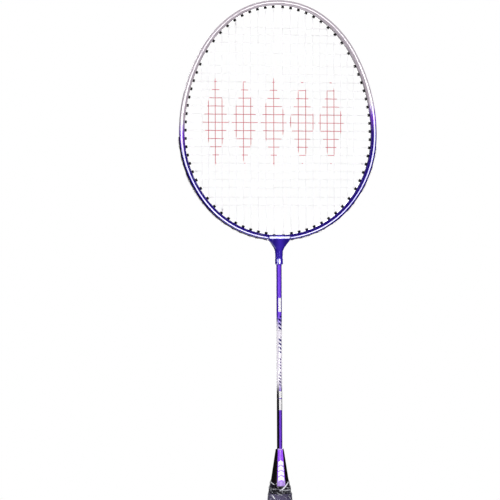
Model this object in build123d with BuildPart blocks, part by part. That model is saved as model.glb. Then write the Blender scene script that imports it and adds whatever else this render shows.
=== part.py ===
"""Badminton racket: hollow alloy head, moulded T-joint, steel shaft, wooden handle, two woven strings.

Lengths are millimetres and angles are degrees. Z runs up the shaft from the butt to the tip of the
head, X lies across the head, and Y runs through it, with the front face towards -Y. The origin is
the middle of the butt's end face.
"""
import os
from math import asin, atan, cos, degrees, radians, sin, sqrt, tan

from build123d import *

os.makedirs("parts", exist_ok=True)

# ---------------------------------------------------------------- driving dimensions
overall_length = 670.0

# head: a hoop of hollow tube, drawn by its outer edge
head_width = 205.0
head_height = 246.2          # tip to throat
widest_drop = 137.0          # tip to the level where the head is widest
crown_radius = 80.0          # centre line at the tip
crown_turn = 36.0            # angle from the tip where the crown arc ends
shoulder_turn = 60.0         # angle from the tip where the shoulder arc ends
throat_turn = 50.0           # half angle of the throat arc
tube_width = 5.4             # in the plane of the head
tube_depth = 9.6
tube_outer_corner = 1.3      # the tube is flatter outside the head and rounder inside it
tube_inner_corner = 3.0
tube_wall = 0.9
bore_outer_corner = 0.4
bore_inner_corner = 1.8
groove_width = 3.4           # string groove round the outside of the upper head
groove_depth = 1.3
groove_runout = 0.5          # left between the groove's end and the first proud grommet

# strings
string_diameter = 0.70
string_gap = 0.06            # between two strings in one grommet
weave_gap = 0.02             # between two strings where they cross
mains_per_side = 11
first_main = 4.8             # from the middle of the head
outer_main_gap = 18.05       # from the outermost main to the tube, where the head is widest
main_pitch_loss = 0.15       # each pitch is this much smaller than the one before
upper_shared = 5             # grommets beside the tip that take a main and a cross
side_crosses = 14            # grommets on each side that take a cross alone
lower_shared = 3             # grommets beside the throat that take a main and a cross
mouth_bend = 0.8             # radius of a string's turn at a grommet
weave_bend = 2.5             # radius of a cross string over a main
least_turn = 0.5             # a route's smaller turns are left out
mouth_lead = 0.7             # straight string past a grommet before it turns
knot_diameter = 2.8
knot_lead = 2.4              # from a grommet's turn to the middle of the knot
knot_fit = 0.05

# grommets
grommet_diameter = 2.6
grommet_bore = 1.6
grommet_fit = 0.03           # all round, in its drilled hole
grommet_reach = 2.0          # stands inside the head
sunk_count_left = 19         # grommets that sit in the groove, on each side
sunk_count_right = 20
sunk_head = 3.2
sunk_head_height = 0.4
proud_head = 3.6
proud_head_height = 0.8
strip_width = 6.4            # the strip that joins the lower grommets outside the head
strip_thickness = 0.45
strip_fit = 0.03
throat_reach = 0.8           # stands above the T-joint
loop_lift = 0.12             # string above a grommet's head

# T-joint
joint_width = 22.0
joint_depth = 10.6
joint_rise = 0.15            # above the inside of the tube
joint_side = 5.75            # height of its side faces
joint_height = 30.6
joint_edge = 1.8             # rounding of its long top edges
joint_crest = 2.4            # from its top down to where it is deepest
flare_height = 11.3          # from its side faces to its stem
flare_power = 1.4            # 1 is a straight flare, more opens later
flare_corner = 0.5
flare_sections = 7
stem_width = 8.1
stem_corner = 3.7
stem_edge = 0.4
spigot_length = 8.0          # held inside each end of the head tube
spigot_fit = 0.06
channel_bore = 1.8           # where the main string turns inside the joint

# shaft
shaft_diameter = 5.6
shaft_wall = 0.7
shaft_fit = 0.04
shaft_in_joint = 19.0
shaft_in_handle = 78.0

# cone cap
cone_top_level = 209.7       # from the butt's end
cone_height = 39.7           # the tapered part
cone_top = 8.4
cone_bottom = 20.5
cone_skirt = 6.0
cone_wall = 1.6
cone_edge = 0.8
cone_fit = 0.05

# handle, in layers round an octagonal core
core_width = 21.4
core_depth = 19.8
core_corner = 5.2            # legs of the octagon's cut corners
neck_length = 14.0
layer_fit = 0.05             # all round, between two layers
grip_thickness = 1.75
butt_floor = 2.6
butt_rim = 3.4               # height of the butt cap's flange
butt_lip = 0.4               # the flange stands out from the grip
butt_edge = 0.8
skirt_length = 19.0          # of the butt cap, inside the grip
skirt_root = 1.6             # its wall at the flange
skirt_tip = 0.5
tape_length = 5.6
tape_thickness = 1.0
tape_gap = 0.1               # between the grip's end and the tape
film_gap = 0.25              # all round, over the grip
film_thickness = 0.15
film_base = 0.5              # above the butt cap's flange
film_straight = 6.4          # above the grip
film_taper = 7.0
film_mouth_gap = 0.3         # between the film's mouth and the cone


# ---------------------------------------------------------------- the head's centre line
# Right half, from the tip (0 degrees) to the throat (180). Each arc is its first angle, its last
# angle, its radius and its centre. Angles are those of the outward normal, from +Z towards +X.
half_width = (head_width - tube_width) / 2
tip_z = overall_length - tube_width / 2
widest_z = overall_length - widest_drop
throat_z = overall_length - head_height + tube_width / 2


def solve_two(a, b, c, d, e, f):
    """The x and y of a x + b y = c and d x + e y = f."""
    scale = a * e - b * d
    return (c * e - b * f) / scale, (a * f - c * d) / scale


def head_arcs():
    """The arcs of the right half: crown, shoulder, side, flank and throat."""
    s1, c1 = sin(radians(crown_turn)), cos(radians(crown_turn))
    s2, c2 = sin(radians(shoulder_turn)), cos(radians(shoulder_turn))
    s3, c3 = sin(radians(throat_turn)), cos(radians(throat_turn))
    upper = tip_z - widest_z
    shoulder, side = solve_two(s2 - s1, 1 - s2, half_width - crown_radius * s1,
                               c1 - c2, c2, upper - crown_radius * (1 - c1))
    flank, throat = solve_two(1 - s3, s3, half_width, c3, 1 - c3, widest_z - throat_z)
    crown_centre = (0.0, tip_z - crown_radius)
    shoulder_centre = ((crown_radius - shoulder) * s1, crown_centre[1] + (crown_radius - shoulder) * c1)
    side_centre = (half_width - side, widest_z)
    flank_centre = (half_width - flank, widest_z)
    throat_centre = (0.0, throat_z + throat)
    return [(0.0, crown_turn, crown_radius, crown_centre),
            (crown_turn, shoulder_turn, shoulder, shoulder_centre),
            (shoulder_turn, 90.0, side, side_centre),
            (90.0, 180.0 - throat_turn, flank, flank_centre),
            (180.0 - throat_turn, 180.0, throat, throat_centre)]


arcs = head_arcs()
flank_radius = arcs[3][2]
throat_radius = arcs[4][2]


def head_point(angle, offset=0.0):
    """The x and z of the point that lies `offset` outside the centre line at a normal's angle."""
    for first, last, radius, centre in arcs:
        if angle <= last:
            break
    reach = radius + offset
    return centre[0] + reach * sin(radians(angle)), centre[1] + reach * cos(radians(angle))


def head_angle(axis, target, first, last, offset):
    """The angle between first and last where x (axis 0) or z (axis 1) meets the target."""
    rising = head_point(last, offset)[axis] > head_point(first, offset)[axis]
    for _ in range(60):
        middle = (first + last) / 2
        if (head_point(middle, offset)[axis] < target) == rising:
            first = middle
        else:
            last = middle
    return first


def normal(angle, side=1):
    """The outward direction at an angle, on the right (1) or the left (-1)."""
    return Vector(side * sin(radians(angle)), 0, cos(radians(angle)))


# ---------------------------------------------------------------- where the strings run
inner_turn = -(tube_width / 2 + grommet_reach + mouth_lead)
main_pitch = ((half_width - tube_width / 2 - outer_main_gap - first_main) / (mains_per_side - 1)
              + main_pitch_loss * (mains_per_side - 2) / 2)
main_x = [first_main + main_pitch * i - main_pitch_loss * i * (i - 1) / 2 for i in range(mains_per_side)]
upper_angles = [head_angle(0, x, 0.0, 90.0, inner_turn) for x in main_x]
lower_angles = [head_angle(0, x, 180.0, 90.0, inner_turn) for x in main_x]
side_top = head_point(upper_angles[-1], inner_turn)[1]
side_bottom = head_point(lower_angles[-1], inner_turn)[1]
side_pitch = (side_top - side_bottom) / (side_crosses + 1)
side_angles = [head_angle(1, side_top - side_pitch * (i + 1), 0.0, 180.0, inner_turn)
               for i in range(side_crosses)]

# every grommet of one side, from the tip to the throat, and the ones that a cross string uses
hole_angles = upper_angles + side_angles + lower_angles[::-1]
throat_hole = len(hole_angles) - 1
lowest_main = mains_per_side + side_crosses
first_cross = mains_per_side - upper_shared
last_cross = lowest_main + lower_shared - 1

sunk = {-1: sunk_count_left, 1: sunk_count_right}

# the grommets that each string's end comes back through, to be tied off
upper_tie = first_cross - 1
lower_tie = last_cross + 1
all_mains = [-x for x in reversed(main_x)] + main_x


def main_tie(side):
    """A side grommet above the lowest main, where the cross string runs in front of that main."""
    outermost = 0 if side < 0 else len(all_mains) - 1
    hole = lowest_main - 2
    return hole if (outermost + hole) % 2 else hole - 1


main_y = (string_diameter + string_gap) / 2
cross_y = -main_y
head_face = tube_width / 2 - groove_depth + sunk_head_height
sunk_turn = head_face + loop_lift + string_diameter / 2
proud_turn = tube_width / 2 + proud_head_height + loop_lift + string_diameter / 2
channel_z = head_point(hole_angles[throat_hole], proud_turn)[1]


def inside(hole, side, y):
    """The point inside the head where a grommet's string turns towards the far side."""
    x, z = head_point(hole_angles[hole], inner_turn)
    return Vector(side * x, y, z)


def outside(hole, side, y):
    """The point outside the head where a grommet's string turns to the next grommet."""
    x, z = head_point(hole_angles[hole], sunk_turn if hole < sunk[side] else proud_turn)
    return Vector(side * (main_x[0] if hole == throat_hole else x), y, z)


def tangent_path(points, bends):
    """Straight runs through the points, with an arc of the given radius at each inner one."""
    corners = []
    start = points[0]
    for corner, after, bend in zip(points[1:], points[2:], bends):
        if (corner - start).get_angle(after - corner) > least_turn:
            corners.append((corner, bend))
            start = corner
    edges = []
    start = points[0]
    ends = [corner for corner, _ in corners[1:]] + [points[-1]]
    for (corner, bend), after in zip(corners, ends):
        back = (start - corner).normalized()
        ahead = (after - corner).normalized()
        half_turn = radians(180 - back.get_angle(ahead)) / 2
        cut = bend * tan(half_turn)
        centre = corner + (back + ahead).normalized() * (bend / cos(half_turn))
        middle = centre + (corner - centre).normalized() * bend
        edges += [Line(start, corner + back * cut),
                  ThreePointArc(corner + back * cut, middle, corner + ahead * cut)]
        start = corner + ahead * cut
    return Wire(edges + [Line(start, points[-1])])


def main_route():
    """One string: up and down the mains from the left tie-off to the right one."""
    points = []
    for side in (-1, 1):
        tie = main_tie(side)
        half = [inside(tie, side, main_y) - Vector(side * knot_lead, 0, 0), inside(tie, side, main_y)]
        half += [outside(hole, side, main_y) for hole in range(tie, lowest_main)]
        for main in reversed(range(mains_per_side)):
            run = [outside(main, side, main_y), inside(main, side, main_y),
                   inside(throat_hole - main, side, main_y), outside(throat_hole - main, side, main_y)]
            upwards = (mains_per_side - 1 - main) % 2 == 0
            half += run[::-1] if upwards else run
        points += half if side < 0 else half[::-1]
    return points, [mouth_bend] * (len(points) - 2)


def weave(hole, side):
    """The points where the cross string from a grommet passes over and under the mains."""
    start = inside(hole, side, cross_y)
    crossed = [(i, x) for i, x in enumerate(all_mains) if abs(x) < abs(start.X) - grommet_diameter]
    stops = [-abs(start.X)] + [x for _, x in crossed] + [abs(start.X)]
    lift = string_diameter + weave_gap
    points = []
    for before, (i, x), after in zip(stops, crossed, stops[2:]):
        slopes = atan(2 * lift / (x - before)), atan(2 * lift / (after - x))
        swing = lift / cos(max(slopes)) + weave_bend * (1 / cos(sum(slopes) / 2) - 1)
        points.append(Vector(x, main_y + swing * (-1) ** (i + hole), start.Z))
    return points[::-side]


def cross_route():
    """One string: down the crosses, over and under the mains, from one tie-off to the other."""
    points = [inside(upper_tie, -1, cross_y) - Vector(0, 0, knot_lead), inside(upper_tie, -1, cross_y),
              outside(upper_tie, -1, cross_y)]
    bends = [mouth_bend] * 2
    for hole in range(first_cross, last_cross + 1):
        side = -1 if (hole - first_cross) % 2 == 0 else 1
        woven = weave(hole, side)
        points += [outside(hole, side, cross_y), inside(hole, side, cross_y)] + woven
        points += [inside(hole, -side, cross_y), outside(hole, -side, cross_y)]
        bends += [mouth_bend] * 2 + [weave_bend] * len(woven) + [mouth_bend] * 2
    points += [outside(lower_tie, -1, cross_y), inside(lower_tie, -1, cross_y),
               inside(lower_tie, -1, cross_y) + Vector(0, 0, knot_lead)]
    return points, bends + [mouth_bend] * 2


# ---------------------------------------------------------------- head frame
bore_outer = tube_width / 2 - groove_depth - tube_wall
bore_inner = -tube_width / 2 + tube_wall
bore_middle = (bore_outer + bore_inner) / 2
bore_width = bore_outer - bore_inner
bore_depth = tube_depth - 2 * tube_wall


def rim_path(first, last, side):
    """One half's centre line between two angles, as arcs."""
    edges = []
    for start, end, radius, centre in arcs:
        start, end = max(start, first), min(end, last)
        if end > start:
            ends = [Vector(side * centre[0], 0, centre[1]) + normal(a, side) * radius
                    for a in (start, (start + end) / 2, end)]
            edges.append(ThreePointArc(*ends))
    return edges


def hole_planes(holes, side):
    """The drilled holes' planes, each with its z pointing out of the head."""
    planes = []
    for hole in holes:
        x, z = head_point(hole_angles[hole])
        planes.append(Plane(origin=(side * x, 0, z), x_dir=(0, 1, 0), z_dir=normal(hole_angles[hole], side)))
    return planes


def shield(width, depth, outer_corner, inner_corner):
    """The tube's outline: a rectangle whose corners differ outside the head (+x) and inside it."""
    with BuildSketch() as outline:
        Rectangle(width, depth)
        fillet(outline.vertices().group_by(Axis.X)[-1], outer_corner)
        fillet(outline.vertices().group_by(Axis.X)[0], inner_corner)
    return outline.sketch


joint_angle = 180 - degrees(asin(joint_width / 2 / throat_radius))

tip_plane = Plane(origin=(0, 0, tip_z), x_dir=(0, 0, 1), z_dir=(1, 0, 0))

with BuildPart() as head_frame:
    for side in (-1, 1):
        with BuildLine() as rim:
            add(rim_path(0.0, joint_angle + 1, side))
        with BuildSketch(tip_plane):
            add(shield(tube_width, tube_depth, tube_outer_corner, tube_inner_corner))
            with Locations((bore_middle, 0)):
                add(shield(bore_width, bore_depth, bore_outer_corner, bore_inner_corner), mode=Mode.SUBTRACT)
        sweep(path=rim.wire())
    for side in (-1, 1):
        runout = degrees((proud_head / 2 + groove_runout) / flank_radius)
        with BuildLine() as groove:
            add(rim_path(0.0, hole_angles[sunk[side]] - runout, side))
        with BuildSketch(tip_plane):
            with Locations((tube_width / 2, 0)):
                Rectangle(2 * groove_depth, groove_width)
        sweep(path=groove.wire(), mode=Mode.SUBTRACT)
    with Locations((0, 0, throat_z)):
        Box(joint_width, 2 * tube_depth, 4 * tube_width, mode=Mode.SUBTRACT)
    with Locations(*hole_planes(range(throat_hole), -1), *hole_planes(range(throat_hole), 1)):
        Cylinder(grommet_diameter / 2 + grommet_fit, 3 * tube_width, mode=Mode.SUBTRACT)
head_frame.part.label = "head_frame"
export_step(head_frame.part, "parts/head_frame.step")


# ---------------------------------------------------------------- grommets
def grommet_profile(bottom, top, head, head_height):
    """Half of a grommet's section about its axis, which is this sketch's y."""
    bore, body = grommet_bore / 2, grommet_diameter / 2
    Polyline((bore, bottom), (body, bottom), (body, top - head_height), (head / 2, top - head_height),
             (head / 2, top), (bore, top), close=True)


with BuildPart() as sunk_grommet:
    with BuildSketch(Plane.XZ):
        with BuildLine():
            grommet_profile(-tube_width / 2 - grommet_reach, head_face, sunk_head, sunk_head_height)
        make_face()
    revolve(axis=Axis.Z)

with BuildPart() as proud_grommet:
    with BuildSketch(Plane.XZ):
        with BuildLine():
            grommet_profile(-tube_width / 2 - grommet_reach, tube_width / 2 + proud_head_height,
                            proud_head, proud_head_height)
        make_face()
    revolve(axis=Axis.Z)

for side_name, side in (("left", -1), ("right", 1)):
    with BuildPart() as upper:
        with Locations(*hole_planes(range(sunk[side]), side)):
            add(sunk_grommet.part)
    upper.part.label = f"grommets_upper_{side_name}"
    export_step(upper.part, f"parts/grommets_upper_{side_name}.step")

    head_turn = degrees(proud_head / 2 / flank_radius)
    first, last = hole_angles[sunk[side]] - head_turn, hole_angles[throat_hole - 1] + head_turn
    x, z = head_point(first)
    with BuildPart() as lower:
        with BuildLine():
            add(rim_path(first, last, side))
        with BuildSketch(Plane(origin=(side * x, 0, z), x_dir=normal(first, side),
                               z_dir=normal(first + 90, side))):
            with Locations((tube_width / 2 + strip_fit + strip_thickness / 2, 0)):
                Rectangle(strip_thickness, strip_width)
        sweep()
        with Locations(*hole_planes(range(sunk[side], throat_hole), side)):
            Cylinder(grommet_bore / 2, 2 * tube_width, mode=Mode.SUBTRACT)
            add(proud_grommet.part)
    lower.part.label = f"grommets_lower_{side_name}"
    export_step(lower.part, f"parts/grommets_lower_{side_name}.step")

# ---------------------------------------------------------------- T-joint
joint_top = throat_z + tube_width / 2 + joint_rise
flare_top = joint_top - joint_side
flare_bottom = flare_top - flare_height
stem_bottom = joint_top - joint_height
flare_reach = (joint_width - stem_width) / 2
crest_level = joint_top - joint_crest
throat_bottom = channel_z + channel_bore / 2 + loop_lift


def depth_at(level):
    """The T-joint tapers evenly from its crest down to its stem."""
    return stem_width + (joint_depth - stem_width) * (level - flare_bottom) / (crest_level - flare_bottom)


with BuildPart() as t_joint:
    with Locations((0, 0, crest_level)):
        Box(joint_width, joint_depth, joint_crest, align=(Align.CENTER, Align.CENTER, Align.MIN))
    fillet(t_joint.edges().filter_by(Axis.X).group_by(Axis.Z)[-1], joint_edge)
    for level in (flare_top, crest_level):
        with BuildSketch(Plane.XY.offset(level)):
            Rectangle(joint_width, depth_at(level))
    loft(ruled=True)
    for i in range(flare_sections):
        share = i / (flare_sections - 1)
        level = flare_bottom + flare_height * share
        with BuildSketch(Plane.XY.offset(level)):
            RectangleRounded(stem_width + 2 * flare_reach * share ** flare_power, depth_at(level),
                             stem_corner + (flare_corner - stem_corner) * share)
    loft()
    with BuildSketch(Plane.XY.offset(stem_bottom)):
        RectangleRounded(stem_width, stem_width, stem_corner)
    extrude(amount=flare_bottom - stem_bottom)
    chamfer(t_joint.faces().sort_by(Axis.Z)[0].edges(), stem_edge)
    for side in (-1, 1):
        tip = joint_angle - degrees(spigot_length / throat_radius)
        x, z = head_point(tip)
        with BuildLine():
            add(rim_path(tip, (joint_angle + 180) / 2, side))
        with BuildSketch(Plane(origin=(side * x, 0, z), x_dir=normal(tip, side), z_dir=normal(tip + 90, side))):
            with Locations((bore_middle, 0)):
                add(shield(bore_width - 2 * spigot_fit, bore_depth - 2 * spigot_fit,
                           bore_outer_corner - spigot_fit, bore_inner_corner - spigot_fit))
        sweep()
    with Locations(*hole_planes([throat_hole - 1], 1), *hole_planes([throat_hole - 1], -1)):
        Cylinder(grommet_diameter / 2 + grommet_fit, 2 * tube_width, mode=Mode.SUBTRACT)
    with Locations((0, 0, stem_bottom)):
        Cylinder(shaft_diameter / 2 + shaft_fit, shaft_in_joint + shaft_fit, mode=Mode.SUBTRACT,
                 align=(Align.CENTER, Align.CENTER, Align.MIN))
    with Locations((-main_x[0], 0, throat_bottom), (main_x[0], 0, throat_bottom)):
        Cylinder(grommet_diameter / 2 + grommet_fit, 2 * tube_width, mode=Mode.SUBTRACT,
                 align=(Align.CENTER, Align.CENTER, Align.MIN))
    with Locations((-main_x[0], 0, channel_z), (main_x[0], 0, channel_z)):
        Cylinder(channel_bore / 2, channel_bore + 2 * loop_lift, mode=Mode.SUBTRACT)
    for side in (-1, 1):
        turn = outside(throat_hole, side, 0)
        run = outside(throat_hole - 1, side, 0) - turn
        with Locations(Plane(origin=turn - run.normalized() * (channel_bore / 2), z_dir=run)):
            Cylinder(channel_bore / 2, joint_width, mode=Mode.SUBTRACT,
                     align=(Align.CENTER, Align.CENTER, Align.MIN))
t_joint.part.label = "t_joint"
export_step(t_joint.part, "parts/t_joint.step")

with BuildPart() as grommets_throat:
    with BuildSketch(Plane.XY.offset(throat_bottom)):
        with Locations((-main_x[0], 0), (main_x[0], 0)):
            Circle(grommet_diameter / 2)
            Circle(grommet_bore / 2, mode=Mode.SUBTRACT)
    extrude(amount=joint_top + throat_reach - throat_bottom)
grommets_throat.part.label = "grommets_throat"
export_step(grommets_throat.part, "parts/grommets_throat.step")

# ---------------------------------------------------------------- strings
routes = {"main_string": main_route(), "cross_string": cross_route()}
for name, (points, bends) in routes.items():
    path = tangent_path(points, bends)
    with BuildPart() as string:
        with BuildLine():
            add(path)
        with BuildSketch(Plane(origin=path @ 0, z_dir=path % 0)):
            Circle(string_diameter / 2)
        sweep()
    string.part.label = name
    export_step(string.part, f"parts/{name}.step")
    print(f"{name}: {path.length:.0f} mm long")


def gap_to_run(point, start, end):
    """The distance from a point to the straight run between two others."""
    run = end - start
    along = min(max((point - start).dot(run) / run.dot(run), 0), 1)
    return (point - start - run * along).length


knots = [inside(main_tie(side), side, 0) - Vector(side * knot_lead, 0, 0) for side in (-1, 1)]
knots += [inside(upper_tie, -1, 0) - Vector(0, 0, knot_lead), inside(lower_tie, -1, 0) + Vector(0, 0, knot_lead)]
knot_radius = knot_diameter / 2

with BuildPart() as string_knots:
    with Locations(*[Location(knot) for knot in knots]):
        Sphere(knot_radius)
    for points, _ in routes.values():
        for start, end in zip(points, points[1:]):
            if min(gap_to_run(knot, start, end) for knot in knots) < knot_radius:
                run = end - start
                with Locations(Plane(origin=start, z_dir=run)):
                    Cylinder(string_diameter / 2 + knot_fit, run.length + knot_fit, mode=Mode.SUBTRACT,
                             align=(Align.CENTER, Align.CENTER, Align.MIN))
string_knots.part.label = "string_knots"
export_step(string_knots.part, "parts/string_knots.step")

# ---------------------------------------------------------------- shaft and cone cap
taper_bottom = cone_top_level - cone_height
handle_top = taper_bottom - cone_skirt
neck_top = handle_top + neck_length
shaft_bottom = neck_top - shaft_in_handle
shaft_top = stem_bottom + shaft_in_joint
shaft_hole = shaft_diameter / 2 + shaft_fit

with BuildPart() as shaft:
    with BuildSketch(Plane.XY.offset(shaft_bottom)):
        Circle(shaft_diameter / 2)
        Circle(shaft_diameter / 2 - shaft_wall, mode=Mode.SUBTRACT)
    extrude(amount=shaft_top - shaft_bottom)
shaft.part.label = "shaft"
export_step(shaft.part, "parts/shaft.step")

cone_slope = (cone_bottom - cone_top) / 2 / cone_height
skirt_inside = cone_bottom / 2 - cone_wall
bore_level = taper_bottom + (skirt_inside - shaft_hole) / cone_slope

with BuildPart() as cone_cap:
    with BuildSketch(Plane.XZ):
        with BuildLine():
            Polyline((shaft_hole, cone_top_level), (cone_top / 2, cone_top_level),
                     (cone_bottom / 2, taper_bottom), (cone_bottom / 2, handle_top),
                     (skirt_inside, handle_top), (skirt_inside, taper_bottom), (shaft_hole, bore_level),
                     close=True)
        make_face()
    revolve(axis=Axis.Z)
    rims = cone_cap.edges().filter_by(GeomType.CIRCLE).group_by(Axis.Z)[-1]
    fillet(rims.sort_by(SortBy.RADIUS)[-1], cone_edge)
cone_cap.part.label = "cone_cap"
export_step(cone_cap.part, "parts/cone_cap.step")

# ---------------------------------------------------------------- handle
flange_grow = layer_fit + skirt_root + grip_thickness + butt_lip
skirt_top = butt_rim + skirt_length
grip_grow = layer_fit + grip_thickness
film_grow = grip_grow + film_gap


def octagon(grow):
    """The corners of the core's octagon, grown all round."""
    x, y = core_width / 2 + grow, core_depth / 2 + grow
    leg = core_corner + grow * (2 - sqrt(2))
    return [(x, leg - y), (x, y - leg), (x - leg, y), (leg - x, y),
            (-x, y - leg), (-x, leg - y), (leg - x, -y), (x - leg, -y)]


def stack(levels):
    """Octagonal stretches through levels of (height, growth), as one solid."""
    with BuildPart() as body:
        for (low, low_grow), (high, high_grow) in zip(levels, levels[1:]):
            with BuildSketch(Plane.XY.offset(low)):
                Polygon(*octagon(low_grow))
            with BuildSketch(Plane.XY.offset(high)):
                Polygon(*octagon(high_grow))
            loft(ruled=True)
    return body.part


core_body = stack([(butt_floor + layer_fit, 0), (handle_top, 0)])
neck = skirt_inside - cone_fit
with BuildPart() as handle_core:
    add(core_body)
    with BuildSketch(Plane.XZ):
        with BuildLine():
            Polyline((0, handle_top - neck), (neck, handle_top - neck), (neck, taper_bottom),
                     (neck - cone_slope * (neck_top - taper_bottom), neck_top), (0, neck_top), close=True)
        make_face()
    revolve(axis=Axis.Z)
    with Locations((0, 0, neck_top)):
        Cylinder(shaft_hole, shaft_in_handle + shaft_fit, mode=Mode.SUBTRACT,
                 align=(Align.CENTER, Align.CENTER, Align.MAX))
handle_core.part.label = "handle_core"
export_step(handle_core.part, "parts/handle_core.step")

butt_flange = stack([(0, flange_grow), (butt_rim, flange_grow)])
butt_skirt = stack([(butt_rim, layer_fit + skirt_root), (skirt_top, layer_fit + skirt_tip)])
butt_socket = stack([(butt_floor, layer_fit), (skirt_top, layer_fit)])
with BuildPart() as butt_cap:
    add(butt_flange)
    chamfer(butt_cap.faces().sort_by(Axis.Z)[0].edges(), butt_edge)
    add(butt_skirt)
    add(butt_socket, mode=Mode.SUBTRACT)
butt_cap.part.label = "butt_cap"
export_step(butt_cap.part, "parts/butt_cap.step")

grip_outside = stack([(butt_rim, grip_grow + skirt_root), (skirt_top, grip_grow), (handle_top, grip_grow)])
grip_over_skirt = stack([(butt_rim, 2 * layer_fit + skirt_root), (skirt_top, 2 * layer_fit + skirt_tip)])
grip_over_core = stack([(skirt_top, layer_fit), (handle_top, layer_fit)])
with BuildPart() as grip_tape:
    add(grip_outside)
    add([grip_over_skirt, grip_over_core], mode=Mode.SUBTRACT)
grip_tape.part.label = "grip_tape"
export_step(grip_tape.part, "parts/grip_tape.step")

with BuildPart() as finishing_tape:
    with BuildSketch(Plane.XY.offset(handle_top + tape_gap)):
        Circle(cone_bottom / 2 + layer_fit + tape_thickness)
        Circle(cone_bottom / 2 + layer_fit, mode=Mode.SUBTRACT)
    extrude(amount=tape_length)
finishing_tape.part.label = "finishing_tape"
export_step(finishing_tape.part, "parts/finishing_tape.step")

film_top = handle_top + film_straight + film_taper
mouth_radius = cone_bottom / 2 - cone_slope * (film_top - taper_bottom) + film_mouth_gap
film_levels = [(butt_rim + film_base, film_grow + skirt_root), (skirt_top, film_grow),
               (handle_top + film_straight, film_grow), (film_top, mouth_radius - core_depth / 2)]
film_outside = stack([(level, grow + film_thickness) for level, grow in film_levels])
film_inside = stack(film_levels)
with BuildPart() as grip_film:
    add(film_outside)
    add(film_inside, mode=Mode.SUBTRACT)
grip_film.part.label = "grip_film"
export_step(grip_film.part, "parts/grip_film.step")
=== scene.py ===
# %% [markdown]
# # A badminton racket
# This lesson builds the looks of a badminton racket around a finished set of solids. The solids give
# every place and size. Each visible piece is modelled again here with more detail, and gets a finish
# that is worked out from the piece's own coordinates, so nothing is painted by hand.

# %% Load the fixed model
import random
from contextlib import contextmanager
from math import asin, atan2, cos, degrees, hypot, pi, radians, sin

import bmesh
import bpy
from mathutils import Matrix, Vector


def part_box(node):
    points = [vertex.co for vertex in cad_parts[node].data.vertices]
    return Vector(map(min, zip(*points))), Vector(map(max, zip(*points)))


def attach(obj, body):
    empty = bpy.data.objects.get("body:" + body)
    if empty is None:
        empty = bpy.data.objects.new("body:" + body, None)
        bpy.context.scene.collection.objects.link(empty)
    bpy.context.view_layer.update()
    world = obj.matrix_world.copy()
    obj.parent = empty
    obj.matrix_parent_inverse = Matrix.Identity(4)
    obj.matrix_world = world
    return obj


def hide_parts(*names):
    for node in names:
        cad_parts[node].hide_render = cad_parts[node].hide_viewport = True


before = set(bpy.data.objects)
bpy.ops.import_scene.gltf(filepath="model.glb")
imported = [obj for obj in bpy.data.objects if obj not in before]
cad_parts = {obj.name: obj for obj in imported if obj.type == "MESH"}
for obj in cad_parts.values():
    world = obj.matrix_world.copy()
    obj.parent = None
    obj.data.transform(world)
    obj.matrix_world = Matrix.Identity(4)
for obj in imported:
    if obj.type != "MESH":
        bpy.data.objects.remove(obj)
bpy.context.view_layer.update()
MM = 0.001                               # a millimetre: the scene is in metres

# %% [markdown]
# ## Camera first
# The racket is long and thin, so a long lens from well back keeps it almost free of perspective. The
# camera stands a little to the left of the racket's front and looks level, at about three fifths of its
# height, with the racket to the right of the middle.


# %% Camera
def place_object(name, data):
    """A new object in the scene for a mesh, a curve, a lamp or a camera."""
    made = bpy.data.objects.new(name, data)
    bpy.context.scene.collection.objects.link(made)
    return made


camera_turn = radians(-8.7)
camera_distance = 1.65
view_height = 0.514                      # what the picture takes in at the racket
sensor_width = 36
aim_level, aim_left = 0.4138, 0.0297     # the camera looks a little to the left of the shaft
camera_right = Vector((cos(camera_turn), sin(camera_turn), 0))
camera_back = Vector((sin(camera_turn), -cos(camera_turn), 0))
aim = Vector((0, 0, aim_level)) - camera_right * aim_left
camera_roll = radians(-0.22)             # the racket leans a hair to the left at the top

camera_data = bpy.data.cameras.new("camera")
camera_data.sensor_width = sensor_width
camera_data.lens = sensor_width * camera_distance / view_height
camera = place_object("camera", camera_data)
camera.location = aim + camera_back * camera_distance
camera.rotation_euler = (Matrix.Rotation(camera_turn, 3, "Z") @ Matrix.Rotation(pi / 2, 3, "X")
                         @ Matrix.Rotation(camera_roll, 3, "Z")).to_euler()
bpy.context.scene.camera = camera
print("camera:", round(camera_data.lens, 1), "mm lens,", camera_distance, "m away")

# %% [markdown]
# ## Working in edit mode
# Every operator acts on all that is selected, so each step starts with nothing selected and then
# picks its vertices, edges or faces by their place. These few helpers do that for every piece.


# %% Edit mode helpers
def select_only(*pieces):
    """Selects these pieces and makes the first the active one."""
    bpy.ops.object.select_all(action="DESELECT")
    for piece in pieces:
        piece.select_set(True)
    bpy.context.view_layer.objects.active = pieces[0]


@contextmanager
def editing(piece):
    """Edit mode on one piece, with nothing in it selected."""
    select_only(piece)
    bpy.ops.object.mode_set(mode="EDIT")
    bpy.ops.mesh.select_mode(type="VERT")
    bpy.ops.mesh.select_all(action="DESELECT")
    yield piece
    bpy.ops.object.mode_set(mode="OBJECT")


def pick(kind, test):
    """Selects the vertices, edges or faces whose middle passes a test, and nothing else."""
    bpy.ops.mesh.select_mode(type=kind)
    bpy.ops.mesh.select_all(action="DESELECT")
    shape = bmesh.from_edit_mesh(bpy.context.object.data)
    parts = {"VERT": shape.verts, "EDGE": shape.edges, "FACE": shape.faces}[kind]
    for part in parts:
        middle = part.co if kind == "VERT" else sum((v.co for v in part.verts), Vector()) / len(part.verts)
        part.select_set(bool(test(middle)))
    shape.select_flush_mode()
    bmesh.update_edit_mesh(bpy.context.object.data)


def select_ends():
    """Selects the open edges of a shell."""
    bpy.ops.mesh.select_mode(type="EDGE")
    bpy.ops.mesh.select_all(action="DESELECT")
    bpy.ops.mesh.select_non_manifold(extend=False)


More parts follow.
